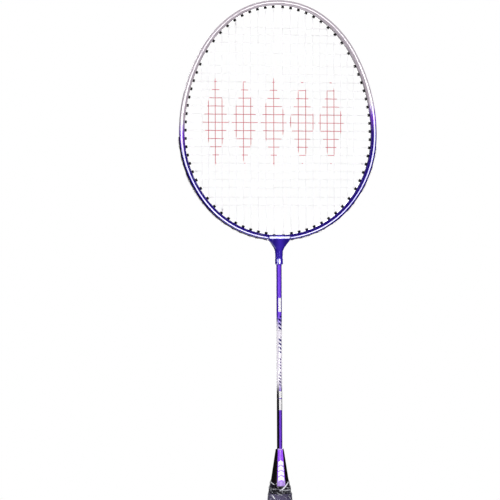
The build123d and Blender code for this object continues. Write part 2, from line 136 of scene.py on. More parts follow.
def place_selected(shape_rule):
    """Moves each selected vertex to where a rule puts it."""
    shape = bmesh.from_edit_mesh(bpy.context.object.data)
    for vertex in shape.verts:
        if vertex.select:
            vertex.co = shape_rule(vertex.co.copy())
    bmesh.update_edit_mesh(bpy.context.object.data)


def place_all(shape_rule):
    """Moves every vertex to where a rule puts it."""
    bpy.ops.mesh.select_all(action="SELECT")
    place_selected(shape_rule)


def close_up(weld=0.004 * MM):
    """Merges doubled vertices and turns every face outwards."""
    bpy.ops.mesh.select_all(action="SELECT")
    bpy.ops.mesh.remove_doubles(threshold=weld)
    bpy.ops.mesh.normals_make_consistent(inside=False)


def cap_ends():
    """Fills the open ends of a shell and closes it up."""
    select_ends()
    bpy.ops.mesh.edge_face_add()
    close_up()


def apply_modifier(piece, kind, **settings):
    """Adds a modifier to a piece and applies it."""
    select_only(piece)
    modifier = piece.modifiers.new(kind.lower(), kind)
    for name, value in settings.items():
        setattr(modifier, name, value)
    bpy.ops.object.modifier_apply(modifier=modifier.name)


# %% [markdown]
# Two ways of making a shape come back again and again. A turned piece, such as a cap or a grommet,
# starts as its outline, drawn by extruding one vertex from point to point, and is spun round an axis.
# A drawn piece, such as the T-joint, starts as one ring that is extruded from section to section.


# %% Outlines, turned pieces and drawn pieces
def outline_piece(name, points):
    """A chain of edges, drawn by extruding one vertex from point to point."""
    bpy.ops.mesh.primitive_plane_add(size=MM, location=(0, 0, 0))
    piece = bpy.context.object
    piece.name = name
    with editing(piece):
        bpy.ops.mesh.select_all(action="SELECT")
        bpy.ops.mesh.merge(type="CENTER")
        bpy.ops.mesh.select_all(action="SELECT")
        bpy.ops.transform.translate(value=points[0])
        for before, after in zip(points, points[1:]):
            bpy.ops.mesh.extrude_region_move(TRANSFORM_OT_translate={"value": after - before})
    return piece


def turned_piece(name, outline, steps):
    """A piece turned round Z from an outline of (radius, height)."""
    piece = outline_piece(name, [Vector((radius, 0, height)) for radius, height in outline])
    with editing(piece):
        bpy.ops.mesh.select_all(action="SELECT")
        bpy.ops.mesh.spin(steps=steps, angle=2 * pi, center=(0, 0, 0), axis=(0, 0, 1))
        close_up()
    return piece


def drawn_piece(name, sections):
    """A closed piece drawn through rings of points, each ring extruded from the one before."""
    bpy.ops.mesh.primitive_circle_add(vertices=len(sections[0]), radius=MM)
    piece = bpy.context.object
    piece.name = name
    with editing(piece):
        bpy.ops.mesh.select_all(action="SELECT")
        for number, ring in enumerate(sections):
            if number:
                bpy.ops.mesh.extrude_region_move()
            shape = bmesh.from_edit_mesh(piece.data)
            picked = [vertex for vertex in shape.verts if vertex.select]
            if number:
                place_below = {at_below: place for place, at_below in enumerate(ring_below)}
                picked.sort(key=lambda vertex: min(place_below.get(edge.other_vert(vertex), len(picked))
                                                   for edge in vertex.link_edges))
            for vertex, point in zip(picked, ring):
                vertex.co = point
            ring_below = picked
            bmesh.update_edit_mesh(piece.data)
        cap_ends()
    return piece


# %% [markdown]
# ## Finishing a piece
# A finished piece stands for one or more of the solids, rides with the racket and takes its finish.
# Flat faces stay crisp and the rest is shaded smooth, by the angle between faces.


# %% Finish a piece
def finish_piece(piece, finish, slot, *nodes, crease=32):
    """Shades a piece, gives it its material, and lets it stand for its solids."""
    select_only(piece)
    bpy.ops.object.transform_apply(location=True, rotation=True, scale=True)
    bpy.ops.object.shade_smooth_by_angle(angle=radians(crease))
    piece.data.name = piece.name
    piece.data.materials.clear()
    piece.data.materials.append(finish)
    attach(piece, "root")
    if nodes:
        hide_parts(*nodes)
    triangles = sum(len(face.vertices) - 2 for face in piece.data.polygons)
    print(f"{piece.name}: {triangles} triangles, {[round(v / MM, 1) for v in piece.dimensions]} mm")
    return piece


# %% [markdown]
# ## Building finishes
# A finish is a tree of nodes. These helpers add a node, join two sockets, mix two colours by a mask
# and do sums, so that each material below reads as a short recipe.


# %% Node helpers
def shade(red, green, blue):
    """A colour from its 0 to 255 values, as a shader needs it."""
    light = [v / 255 for v in (red, green, blue)]
    return (*[v / 12.92 if v <= 0.04045 else ((v + 0.055) / 1.055) ** 2.4 for v in light], 1)


def add_node(tree, kind, **settings):
    made = tree.nodes.new(kind)
    for name, value in settings.items():
        setattr(made, name, value)
    return made


def feed(tree, value, socket):
    """Joins a socket to another, or sets a plain value on it."""
    if isinstance(value, bpy.types.NodeSocket):
        tree.links.new(value, socket)
    elif hasattr(socket.default_value, "__len__") and not hasattr(value, "__len__"):
        socket.default_value = [value] * len(socket.default_value)
    else:
        socket.default_value = value


def maths(kind):
    """A helper that adds one kind of maths step to a tree."""
    def step(tree, first, second=0.0, third=0.0, clamp=False):
        made = add_node(tree, "ShaderNodeMath", operation=kind, use_clamp=clamp)
        for value, socket in zip((first, second, third), made.inputs):
            feed(tree, value, socket)
        return made.outputs[0]
    return step


plus, minus, times, over = [maths(kind) for kind in ("ADD", "SUBTRACT", "MULTIPLY", "DIVIDE")]
scaled = maths("MULTIPLY_ADD")           # a value times a factor, plus an offset
magnitude, fraction, root, largest = [maths(kind) for kind in ("ABSOLUTE", "FRACT", "SQRT", "MAXIMUM")]
bearing, rounded, below = [maths(kind) for kind in ("ARCTAN2", "ROUND", "LESS_THAN")]


def between(tree, value, low, high, to_low=0.0, to_high=1.0, smooth=True):
    """A value carried from one range to another, eased at both ends."""
    made = add_node(tree, "ShaderNodeMapRange", interpolation_type="SMOOTHSTEP" if smooth else "LINEAR")
    for name, number in (("Value", value), ("From Min", low), ("From Max", high),
                         ("To Min", to_low), ("To Max", to_high)):
        feed(tree, number, made.inputs[name])
    return made.outputs["Result"]


def mixed(tree, mask, first, second):
    """The first colour where the mask is 0 and the second where it is 1."""
    made = add_node(tree, "ShaderNodeMix", data_type="RGBA")
    feed(tree, mask, made.inputs[0])
    feed(tree, first, made.inputs[6])
    feed(tree, second, made.inputs[7])
    return made.outputs[2]


def own_place(tree):
    """The piece's own coordinates: the whole vector, x, y and z."""
    place = add_node(tree, "ShaderNodeTexCoord").outputs["Object"]
    parts = add_node(tree, "ShaderNodeSeparateXYZ")
    tree.links.new(place, parts.inputs[0])
    return place, parts.outputs[0], parts.outputs[1], parts.outputs[2]


def noise(tree, place, scale, detail=2.0, stretch=None):
    """Soft noise at a scale, stretched along an axis if asked."""
    if stretch:
        mapping = add_node(tree, "ShaderNodeMapping")
        feed(tree, place, mapping.inputs["Vector"])
        mapping.inputs["Scale"].default_value = stretch
        place = mapping.outputs[0]
    made = add_node(tree, "ShaderNodeTexNoise")
    feed(tree, place, made.inputs["Vector"])
    feed(tree, scale, made.inputs["Scale"])
    feed(tree, detail, made.inputs["Detail"])
    return made.outputs["Fac"]


def new_finish(name, **constants):
    """A material with one Principled shader, whose plain values are set on its own sockets."""
    finish = bpy.data.materials.new(name)
    finish.use_nodes = True
    tree = finish.node_tree
    shader = tree.nodes["Principled BSDF"]
    for socket, value in constants.items():
        shader.inputs[socket.replace("_", " ").title().replace("Ior", "IOR")].default_value = value
    return finish, tree, shader


def raise_surface(tree, shader, height, distance, strength=1.0):
    """Bump, in real depth, into the shader's normal."""
    bump = add_node(tree, "ShaderNodeBump")
    feed(tree, height, bump.inputs["Height"])
    bump.inputs["Distance"].default_value = distance
    bump.inputs["Strength"].default_value = strength
    tree.links.new(bump.outputs[0], shader.inputs["Normal"])


# %% [markdown]
# ## Effects that several finishes share
# Lacquer fades, fine scuffs from play, moulded or leathery grain, and a strip up the front are each one
# node group with named inputs and outputs. A finish places the group and gives it its own values.


# %% Shared effect groups
def new_group(name, inputs, outputs):
    """An empty node group with number inputs and number outputs."""
    group = bpy.data.node_groups.new(name, "ShaderNodeTree")
    for label, value in inputs.items():
        group.interface.new_socket(label, in_out="INPUT", socket_type="NodeSocketFloat").default_value = value
    for label in outputs:
        group.interface.new_socket(label, in_out="OUTPUT", socket_type="NodeSocketFloat")
    return group, add_node(group, "NodeGroupInput").outputs, add_node(group, "NodeGroupOutput").inputs


def use_group(tree, group, **values):
    """Places a group in a material with its own values, and gives its outputs."""
    made = add_node(tree, "ShaderNodeGroup", node_tree=group)
    for label, value in values.items():
        feed(tree, value, made.inputs[label.replace("_", " ")])
    return made.outputs


fade_group, taken, given = new_group("lacquer fade", {"Level": 0.5, "Spread": 0.01, "Tilt": 0.0}, ["Mask"])
place, x, y, z = own_place(fade_group)
cloud = noise(fade_group, place, 260.0, 3.0)
height = scaled(fade_group, x, times(fade_group, taken["Tilt"], -1.0), z)
height = scaled(fade_group, minus(fade_group, cloud, 0.5),
                times(fade_group, taken["Spread"], 0.25), height)
feed(fade_group, between(fade_group, height, minus(fade_group, taken["Level"], taken["Spread"]),
                         plus(fade_group, taken["Level"], taken["Spread"])), given["Mask"])

scuff_group, taken, given = new_group("scuffs", {"Amount": 0.3, "Scale": 300.0}, ["Mask"])
place = own_place(scuff_group)[0]
streaks = noise(scuff_group, place, taken["Scale"], 4.0, stretch=(1.0, 1.0, 0.12))
patches = noise(scuff_group, place, 35.0, 2.0)
worn = times(scuff_group, between(scuff_group, streaks, 0.6, 0.72), between(scuff_group, patches, 0.45, 0.7))
feed(scuff_group, times(scuff_group, worn, taken["Amount"]), given["Mask"])

grain_group, taken, given = new_group("grain", {"Scale": 900.0, "Pebble": 0.5}, ["Height", "Tone"])
place = own_place(grain_group)[0]
cells = add_node(grain_group, "ShaderNodeTexVoronoi", feature="SMOOTH_F1")
feed(grain_group, place, cells.inputs["Vector"])
feed(grain_group, taken["Scale"], cells.inputs["Scale"])
fine = noise(grain_group, place, times(grain_group, taken["Scale"], 1.7), 3.0)
pebbled = times(grain_group, cells.outputs["Distance"], taken["Pebble"])
feed(grain_group, plus(grain_group, fine, pebbled), given["Height"])
feed(grain_group, noise(grain_group, place, 60.0, 4.0), given["Tone"])

front_group, taken, given = new_group("front panel",
                                      {"Middle": 0.0, "Half Width": 0.002, "Softness": 0.0002}, ["Mask"])
x = own_place(front_group)[1]
aside = magnitude(front_group, minus(front_group, x, taken["Middle"]))
inner = minus(front_group, taken["Half Width"], taken["Softness"])
outer = plus(front_group, taken["Half Width"], taken["Softness"])
feed(front_group, between(front_group, aside, inner, outer, 1.0, 0.0), given["Mask"])
print("groups:", [group.name for group in bpy.data.node_groups])

# %% [markdown]
# ## The head's lacquer
# The hoop is sprayed pearl white at the top and candy indigo below, with a soft fade where the head
# is widest. The fade sits lower on the left. Candy paint is a colour over metal flake under clear
# gloss, so it is a little metallic, has a clear coat, and its flake is noise in the roughness.


# %% Head lacquer
def lay_colour(tree, shader, colour, bare=None, **scuffs):
    """Feeds a finish its colour, with scuffs that show a barer colour if asked."""
    if bare:
        colour = mixed(tree, use_group(tree, scuff_group, **scuffs)["Mask"], colour, bare)
    feed(tree, colour, shader.inputs["Base Color"])


def vary_roughness(tree, shader, pattern, swing, least):
    """Roughness that follows a pattern upwards from its least value."""
    feed(tree, scaled(tree, pattern, swing, least), shader.inputs["Roughness"])


pearl, warm_pearl, bare_primer = shade(188, 177, 188), shade(202, 192, 201), shade(226, 220, 232)
fade_violet, candy_indigo = shade(128, 70, 214), shade(42, 16, 142)
pearl_level, violet_level, fade_tilt = 0.5495, 0.5330, 0.105

head_lacquer, tree, shader = new_finish("head_lacquer", coat_weight=1.0, coat_roughness=0.04, coat_ior=2.0,
                                        specular_ior_level=0.35)
place = own_place(tree)[0]
to_pearl = use_group(tree, fade_group, Level=pearl_level, Spread=0.010, Tilt=fade_tilt)["Mask"]
to_violet = use_group(tree, fade_group, Level=violet_level, Spread=0.012, Tilt=fade_tilt)["Mask"]
upper_colour = mixed(tree, noise(tree, place, 18.0, 3.0), pearl, warm_pearl)
lower_colour = mixed(tree, to_violet, candy_indigo, fade_violet)
colour = mixed(tree, to_pearl, lower_colour, upper_colour)
lay_colour(tree, shader, colour, bare_primer, Amount=0.25, Scale=420.0)
feed(tree, between(tree, to_pearl, 0.0, 1.0, 0.28, 0.08), shader.inputs["Metallic"])
vary_roughness(tree, shader, noise(tree, place, 5200.0, 1.0), 0.14, 0.12)
raise_surface(tree, shader, noise(tree, place, 420.0, 1.0), 0.012 * MM, 0.2)

# %% [markdown]
# ## The shaft's lacquer
# The shaft is violet above, then white with rows of slanted dark dashes, and at the bottom a violet
# stripe down a black tube. The three plain white bars are bands on the front and back of the tube.
# The violet above has a painted highlight towards the left and painted shade at its sides.


# %% Shaft lacquer
def band(tree, value, low, high, soft=0.15 * MM):
    """1 where a value lies between two limits."""
    return times(tree, between(tree, value, low - soft, low + soft),
                 between(tree, value, high - soft, high + soft, 1.0, 0.0))


def front_strip(tree, middle, half_width, softness=0.12 * MM):
    """1 on a strip up the front and the back."""
    return use_group(tree, front_group, Middle=middle, Half_Width=half_width, Softness=softness)["Mask"]


def dash_row(tree, x, z, low, high, pitch, half_width):
    """A mask of short slanted dashes up the front, between two heights."""
    slant = 0.7
    step = fraction(tree, over(tree, scaled(tree, x, slant, z), pitch))
    dash = times(tree, band(tree, step, 0.18, 0.70, 0.06), band(tree, z, low, high))
    return times(tree, dash, front_strip(tree, 0.4 * MM, half_width))


# each row of dashes: its ink, its two heights, its pitch and half its width
dash_rows = [(shade(20, 2, 96), 330.5, 346.0, 4.2, 1.6), (shade(26, 12, 112), 308.0, 324.4, 4.1, 1.5),
             (shade(106, 88, 146), 291.5, 303.8, 3.1, 1.0), (shade(64, 46, 112), 274.4, 288.4, 3.3, 1.2)]
# each white bar: its middle and its two heights
white_bars = [(0.15, 350.3, 364.5), (0.5, 249.4, 260.8), (0.5, 261.6, 268.9)]

shaft_lacquer, tree, shader = new_finish("shaft_lacquer", coat_weight=1.0, coat_roughness=0.05, coat_ior=1.8)
place, x, _, z = own_place(tree)
upper_white = use_group(tree, fade_group, Level=0.3385, Spread=0.008)["Mask"]
lower_white = use_group(tree, fade_group, Level=0.2730, Spread=0.008)["Mask"]
# painted light: the upper violet is lighter towards the left (painted highlight) and darker at the tube's
# sides (painted shade)
lit_and_shaded_violet = mixed(tree, between(tree, x, -1.2 * MM, 1.6 * MM), shade(132, 82, 248), shade(106, 50, 222))
lit_and_shaded_violet = mixed(tree, front_strip(tree, -0.1 * MM, 1.5 * MM, 0.3 * MM), shade(52, 20, 142), lit_and_shaded_violet)
stripe = front_strip(tree, 0.4 * MM, 1.1 * MM, 0.3 * MM)
lower_coat = mixed(tree, stripe, shade(4, 2, 8), shade(118, 64, 222))
lacquer = mixed(tree, lower_white, lower_coat, shade(240, 234, 246))
lacquer = mixed(tree, upper_white, lacquer, lit_and_shaded_violet)
for ink, *sizes in dash_rows:
    lacquer = mixed(tree, dash_row(tree, x, z, *[size * MM for size in sizes]), lacquer, ink)
for middle, low, high in white_bars:
    bar = times(tree, band(tree, z, low * MM, high * MM), front_strip(tree, middle * MM, 1.35 * MM))
    lacquer = mixed(tree, bar, lacquer, shade(252, 250, 253))
lay_colour(tree, shader, lacquer, shade(214, 206, 226), Amount=0.2, Scale=500.0)
feed(tree, times(tree, minus(tree, 1.0, lower_white), 0.1), shader.inputs["Metallic"])
vary_roughness(tree, shader, noise(tree, place, 5200.0, 1.0), 0.14, 0.16)
raise_surface(tree, shader, noise(tree, place, 500.0, 1.0), 0.01 * MM, 0.2)

# %% [markdown]
# ## Joint lacquer and cap plastics
# The T-joint is cast, filed and sprayed with more of the indigo, which is a little uneven. Its sides
# are darker, painted shade, so that it looks lit up its middle. The cone cap is moulded black plastic
# with a violet panel and white chevrons printed on its front and back. The butt cap comes out of a
# coarser mould and is left plain and duller.

# %% Joint lacquer
joint_lacquer, tree, shader = new_finish("joint_lacquer", coat_weight=1.0, coat_roughness=0.04, coat_ior=2.0,
                                         specular_ior_level=0.35)
place = own_place(tree)[0]
tone = noise(tree, place, 90.0, 3.0)
lit_indigo = mixed(tree, tone, shade(54, 30, 176), shade(70, 44, 198))
# painted shade: the joint's sides take a darker indigo than its middle
colour = mixed(tree, front_strip(tree, 0.5 * MM, 3.4 * MM, 3.2 * MM), shade(34, 12, 138), lit_indigo)
lay_colour(tree, shader, colour, shade(190, 180, 226), Amount=0.25, Scale=380.0)
feed(tree, scaled(tree, tone, 0.12, 0.12), shader.inputs["Metallic"])
vary_roughness(tree, shader, noise(tree, place, 4200.0, 1.0), 0.14, 0.12)
raise_surface(tree, shader, noise(tree, place, 300.0, 2.0), 0.015 * MM, 0.2)

# %% Cap plastic
cone_top, taper_bottom = 209.7 * MM, 170.0 * MM
panel_middle, panel_margin = 0.05 * MM, 0.65 * MM
chevron_pitch, chevron_slant = 5.1 * MM, 0.7
cap_plastic, tree, shader = new_finish("cap_plastic", coat_weight=0.15, coat_roughness=0.06,
                                       specular_ior_level=0.3)
place, x, _, z = own_place(tree)
panel_half = between(tree, z, cone_top, taper_bottom, 2.5 * MM, 4.35 * MM, smooth=False)
panel = times(tree, front_strip(tree, panel_middle, panel_half), between(tree, z, 171.6 * MM, 173.2 * MM))
climb = scaled(tree, magnitude(tree, minus(tree, x, panel_middle)), chevron_slant, z)
chevron = band(tree, fraction(tree, over(tree, climb, chevron_pitch)), 0.07, 0.90, 0.04)
chevrons = times(tree, chevron, band(tree, climb, 178.5 * MM, 198.9 * MM))
chevrons = times(tree, chevrons, front_strip(tree, panel_middle, minus(tree, panel_half, panel_margin)))
pale_rim = between(tree, z, 208.0 * MM, 209.2 * MM)
pale_foot = between(tree, z, 179.5 * MM, 175.5 * MM)
tone = noise(tree, place, 60.0, 3.0)
violet_print = mixed(tree, tone, shade(146, 70, 246), shade(162, 88, 252))
for mask, ink in ((chevrons, shade(250, 248, 252)), (pale_rim, shade(206, 172, 252)),
                  (pale_foot, shade(198, 156, 254))):
    violet_print = mixed(tree, mask, violet_print, ink)
black_plastic = mixed(tree, tone, shade(10, 7, 10), shade(19, 15, 19))
colour = mixed(tree, panel, black_plastic, violet_print)
lay_colour(tree, shader, colour, shade(96, 90, 106), Amount=0.12, Scale=350.0)
vary_roughness(tree, shader, noise(tree, place, 700.0, 2.0), 0.2, 0.16)
grain = use_group(tree, grain_group, Scale=1600.0, Pebble=0.2)
raise_surface(tree, shader, grain["Height"], 0.015 * MM, 0.25)

# %% Butt plastic
butt_plastic, tree, shader = new_finish("butt_plastic", specular_ior_level=0.4)
place = own_place(tree)[0]
colour = mixed(tree, noise(tree, place, 60.0, 3.0), shade(14, 12, 16), shade(26, 23, 29))
lay_colour(tree, shader, colour, shade(110, 104, 116), Amount=0.35, Scale=260.0)
vary_roughness(tree, shader, noise(tree, place, 700.0, 2.0), 0.25, 0.3)
grain = use_group(tree, grain_group, Scale=1100.0, Pebble=0.7)
raise_surface(tree, shader, grain["Height"], 0.04 * MM, 0.5)

# %% [markdown]
# ## Grip, tape and film
# The grip is a soft polyurethane tape with a fine leathery grain and small holes for air. The band
# that ends it is stretched vinyl tape. The film over it is thin and clear. Where it was creased it
# catches the light, and that light is painted: its main folds are one short list, which this finish
# turns into thin white lines of painted glint and which the mesh below turns into ridges. Finer
# streaks of painted glint are noise, squeezed one way and stretched the other.

# %% Grip
coil_pitch, coil_radius = 19.0 * MM, 12.0 * MM
pore_pitch, pore_radius = 2.356 * MM, 0.3 * MM


def dots(tree, across, up, pitch, radius):
    """A mask of round holes in a square pattern, drawn from two lengths."""
    steps = [minus(tree, fraction(tree, over(tree, length, pitch)), 0.5) for length in (across, up)]
    away = root(tree, plus(tree, *[times(tree, step, step) for step in steps]))
    return between(tree, away, radius / pitch * 0.7, radius / pitch * 1.3, 1.0, 0.0)


grip_leather, tree, shader = new_finish("grip_leather", specular_ior_level=0.35, sheen_weight=0.1,
                                        sheen_roughness=0.5)
_, x, y, z = own_place(tree)
grain = use_group(tree, grain_group, Scale=1400.0, Pebble=0.9)
turn = bearing(tree, y, x)
around = times(tree, turn, coil_radius)
upward = scaled(tree, turn, -coil_pitch / (2 * pi), z)
pores = dots(tree, around, upward, pore_pitch, pore_radius)
colour = mixed(tree, between(tree, grain["Tone"], 0.35, 0.65), shade(74, 66, 96), shade(116, 107, 142))
lay_colour(tree, shader, mixed(tree, times(tree, pores, 0.75), colour, shade(26, 24, 32)))
vary_roughness(tree, shader, grain["Tone"], 0.25, 0.5)
raise_surface(tree, shader, scaled(tree, pores, -2.5, grain["Height"]), 0.12 * MM, 0.5)

# %% Finishing tape
vinyl_tape, tree, shader = new_finish("vinyl_tape")
place = own_place(tree)[0]
tone = noise(tree, place, 150.0, 3.0)
lay_colour(tree, shader, mixed(tree, tone, shade(10, 9, 14), shade(26, 24, 32)))
vary_roughness(tree, shader, tone, 0.25, 0.3)
stretch_lines = noise(tree, place, 500.0, 2.0, stretch=(0.3, 0.3, 3.0))
raise_surface(tree, shader, stretch_lines, 0.08 * MM, 0.5)

# %% Film finish
film_reach = 11.5 * MM                   # turns become lengths round the sleeve at this radius
streak_length, streak_width = 4.5 * MM, 0.32 * MM
# each fold: its two ends as (turn from the front, height), its width, its lift and how bright its painted
# glint is
main_folds = [(66, 178.2, -14, 167.0, 1.5, 0.6, 1.0), (-20, 168.6, 84, 167.6, 0.7, 0.35, 0.6),
              (-84, 176.2, -34, 173.4, 0.9, 0.35, 0.9), (-52, 163.8, -30, 158.8, 1.4, 0.4, 1.0),
              (-64, 168.8, -16, 169.9, 0.6, 0.3, 0.5), (-30, 166.2, 10, 162.4, 0.6, 0.3, 0.6),
              (14, 171.8, 52, 169.4, 0.6, 0.3, 0.5), (30, 163.0, 58, 158.0, 0.6, 0.3, 0.5)]


def fold_line(tree, across, up, fold):
    """A thin line of painted glint along a fold, widest at its middle, worked out from lengths round and up
    the sleeve.
    """
    start_turn, start, end_turn, end, width, _, glint_strength = fold
    run, rise = radians(end_turn - start_turn) * film_reach, (end - start) * MM
    length = hypot(run, rise)
    across, up = minus(tree, across, radians(start_turn) * film_reach), minus(tree, up, start * MM)
    share = scaled(tree, across, run / length ** 2, times(tree, up, rise / length ** 2))
    aside = magnitude(tree, scaled(tree, across, -rise / length, times(tree, up, run / length)))
    reach = times(tree, times(tree, share, minus(tree, 1.0, share)), 2.0 * width * MM)
    line = times(tree, between(tree, minus(tree, reach, aside), 0.0, 0.12 * MM), glint_strength)
    return times(tree, line, band(tree, share, 0.0, 1.0, 0.02))


def streaks(tree, across, up, turn):
    """Fine straight streaks of painted glint in one direction: noise that is squeezed across it and stretched
    along it.
    """
    ahead = scaled(tree, across, cos(turn), times(tree, up, sin(turn)))
    aside = scaled(tree, across, -sin(turn), times(tree, up, cos(turn)))
    spot = add_node(tree, "ShaderNodeCombineXYZ")
    for value, size, socket in zip((ahead, aside, turn), (streak_length, streak_width, 0.2), spot.inputs):
        feed(tree, over(tree, value, size), socket)
    return between(tree, noise(tree, spot.outputs[0], 1.0, 1.0), 0.69, 0.76)


clear_film, tree, shader = new_finish("clear_film", roughness=0.1, specular_ior_level=0.8)
place, x, y, z = own_place(tree)
across = times(tree, bearing(tree, x, times(tree, y, -1.0)), film_reach)
# crease gathers the painted glints along the folds and the streaks
crease = 0.0
for fold in main_folds:
    crease = largest(tree, crease, fold_line(tree, across, z, fold))
gathered = between(tree, z, 150.0 * MM, 160.0 * MM, 0.25, 0.8)
for turn in (0.5, -0.35, 1.2):
    crease = largest(tree, crease, times(tree, streaks(tree, across, z, turn), gathered))
grainy = between(tree, noise(tree, place, 1500.0, 3.0), 0.35, 0.55, 0.45, 1.0)
crease = times(tree, crease, grainy, clamp=True)
haze = between(tree, noise(tree, place, 240.0, 4.0), 0.52, 0.72, 0.0, 0.06)
sheen = add_node(tree, "ShaderNodeFresnel")
sheen.inputs["IOR"].default_value = 1.4
clear = plus(tree, scaled(tree, sheen.outputs[0], 0.4, 0.03), haze)
glint_mask = between(tree, crease, 0.0, 0.3)
# painted glint: the creases take a near-white colour and more opacity
lay_colour(tree, shader, mixed(tree, glint_mask, shade(54, 53, 70), shade(246, 247, 255)))
feed(tree, scaled(tree, crease, 0.85, clear, clamp=True), shader.inputs["Alpha"])
facets = add_node(tree, "ShaderNodeTexVoronoi", feature="F1")
feed(tree, place, facets.inputs["Vector"])
feed(tree, 170.0, facets.inputs["Scale"])
ripples = scaled(tree, noise(tree, place, 300.0, 3.0), 0.5, facets.outputs["Distance"])
raise_surface(tree, shader, ripples, 0.5 * MM, 0.6)

# %% [markdown]
# ## String, grommet, wood
# The strings are white nylon with a row of plain red lozenges sprayed on through a stencil, which is
# a traditional harlequin band. Nylon grommets are moulded black. The core is pale turned wood.

# %% String nylon
lozenge_middle, lozenge_pitch, lozenge_height = Vector((-5.0, 0, 545.5)) * MM, 30.0 * MM, 45.0 * MM
widest_share, outermost = 0.46, 2.5      # half a lozenge's width in pitches, and where the row ends
string_nylon, tree, shader = new_finish("string_nylon", coat_weight=0.4, coat_roughness=0.15,
                                        specular_ior_level=0.4, transmission_weight=0.38)
place, x, y, z = own_place(tree)
across = over(tree, minus(tree, x, lozenge_middle.x), lozenge_pitch)
nearest = rounded(tree, across)
beside = magnitude(tree, minus(tree, across, nearest))
above = magnitude(tree, over(tree, minus(tree, z, lozenge_middle.z), lozenge_height))
lozenge = between(tree, plus(tree, over(tree, beside, widest_share), above), 0.97, 1.03, 1.0, 0.0)
lozenge = times(tree, lozenge, below(tree, magnitude(tree, nearest), outermost))
sprayed = between(tree, noise(tree, place, 1500.0, 2.0), 0.3, 0.5, 0.94, 1.0)
front_side = between(tree, y, 0.2 * MM, 1.0 * MM, 1.0, 0.85)
ink = times(tree, times(tree, lozenge, sprayed), front_side)
lay_colour(tree, shader, mixed(tree, ink, shade(252, 250, 253), shade(198, 0, 54)))
vary_roughness(tree, shader, noise(tree, place, 900.0, 2.0), 0.2, 0.25)
raise_surface(tree, shader, noise(tree, place, 2500.0, 1.0, stretch=(1.0, 1.0, 0.2)), 0.02 * MM, 0.3)

# %% Grommet nylon
grommet_nylon, tree, shader = new_finish("grommet_nylon", specular_ior_level=0.25)
tone = noise(tree, own_place(tree)[0], 200.0, 3.0)
lay_colour(tree, shader, mixed(tree, tone, shade(5, 4, 5), shade(14, 12, 15)))
vary_roughness(tree, shader, tone, 0.3, 0.35)
grain = use_group(tree, grain_group, Scale=2600.0, Pebble=0.4)
raise_surface(tree, shader, grain["Height"], 0.02 * MM, 0.4)

# %% Core wood
core_wood, tree, shader = new_finish("core_wood", specular_ior_level=0.3)
rings = noise(tree, own_place(tree)[0], 260.0, 3.0, stretch=(1.0, 1.0, 0.06))
ring_tone = between(tree, rings, 0.35, 0.65)
lay_colour(tree, shader, mixed(tree, ring_tone, shade(206, 172, 126), shade(170, 128, 84)))
vary_roughness(tree, shader, rings, 0.2, 0.55)
raise_surface(tree, shader, rings, 0.1 * MM, 0.4)
core_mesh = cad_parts["handle_core"].data
core_mesh.materials.clear()
core_mesh.materials.append(core_wood)
print("finishes:", [finish.name for finish in bpy.data.materials])

# %% [markdown]
# ## The head's line
# The hoop is bent from one tube, and its line is five arcs that run into each other on each side:
# crown, shoulder, side, flank and throat. Only the crown's radius is chosen: the head's width, height
# and widest level fix the other four. Angles are those of the outward direction, from straight up
# towards the right.

# %% The five arcs
tube_width, tube_depth = 5.4 * MM, 9.6 * MM
half_width, tip_z, widest_z, throat_z = 99.8 * MM, 667.3 * MM, 533.0 * MM, 426.5 * MM
crown_radius, crown_turn, shoulder_turn, throat_turn = 80.0 * MM, radians(36), radians(60), radians(50)


def crossing(a, b, c, d, e, f):
    """The x and y of a x + b y = c and d x + e y = f."""
    return (c * e - b * f) / (a * e - b * d), (a * f - c * d) / (a * e - b * d)


shoulder_radius, side_radius = crossing(
    sin(shoulder_turn) - sin(crown_turn), 1 - sin(shoulder_turn), half_width - crown_radius * sin(crown_turn),
    cos(crown_turn) - cos(shoulder_turn), cos(shoulder_turn),
    tip_z - widest_z - crown_radius * (1 - cos(crown_turn)))
flank_radius, throat_radius = crossing(1 - sin(throat_turn), sin(throat_turn), half_width,
                                       cos(throat_turn), 1 - cos(throat_turn), widest_z - throat_z)
crown_middle = Vector((0, 0, tip_z - crown_radius))
rim_arcs = [
    (0.0, crown_turn, crown_radius, crown_middle),
    (crown_turn, shoulder_turn, shoulder_radius,
     crown_middle + Vector((sin(crown_turn), 0, cos(crown_turn))) * (crown_radius - shoulder_radius)),
    (shoulder_turn, pi / 2, side_radius, Vector((half_width - side_radius, 0, widest_z))),
    (pi / 2, pi - throat_turn, flank_radius, Vector((half_width - flank_radius, 0, widest_z))),
    (pi - throat_turn, pi, throat_radius, Vector((0, 0, throat_z + throat_radius)))]
print("arcs:", [(round(degrees(a)), round(degrees(b)), round(r / MM, 1)) for a, b, r, _ in rim_arcs])


def rim_point(angle, out=0.0, side=1, depth=0.0):
    """The point that lies `out` outside the hoop's centre line at an angle, on the right or the left."""
    radius, middle = next((r, m) for first, last, r, m in rim_arcs if angle <= last + 1e-9)
    reach = radius + out
    return Vector((side * (middle.x + reach * sin(angle)), depth, middle.z + reach * cos(angle)))


def rim_angle(axis, target, first, last, out):
    """The angle between first and last where x (axis 0) or z (axis 2) meets the target."""
    rising = rim_point(last, out)[axis] > rim_point(first, out)[axis]
    for _ in range(50):
        middle = (first + last) / 2
        if (rim_point(middle, out)[axis] < target) == rising:
            first = middle
        else:
            last = middle
    return first


def rim_place(point):
    """The angle and the distance outside the centre line of a point near the hoop."""
    beside = Vector((abs(point.x), 0, point.z))
    best = None
    for first, last, radius, middle in rim_arcs:
        away = beside - middle
        angle, out = atan2(away.x, away.z) % (2 * pi), away.length - radius
        if first - 0.02 <= angle <= last + 0.02 and (best is None or abs(out) < abs(best[1])):
            best = angle, out
    return best or (0.0, 1.0)


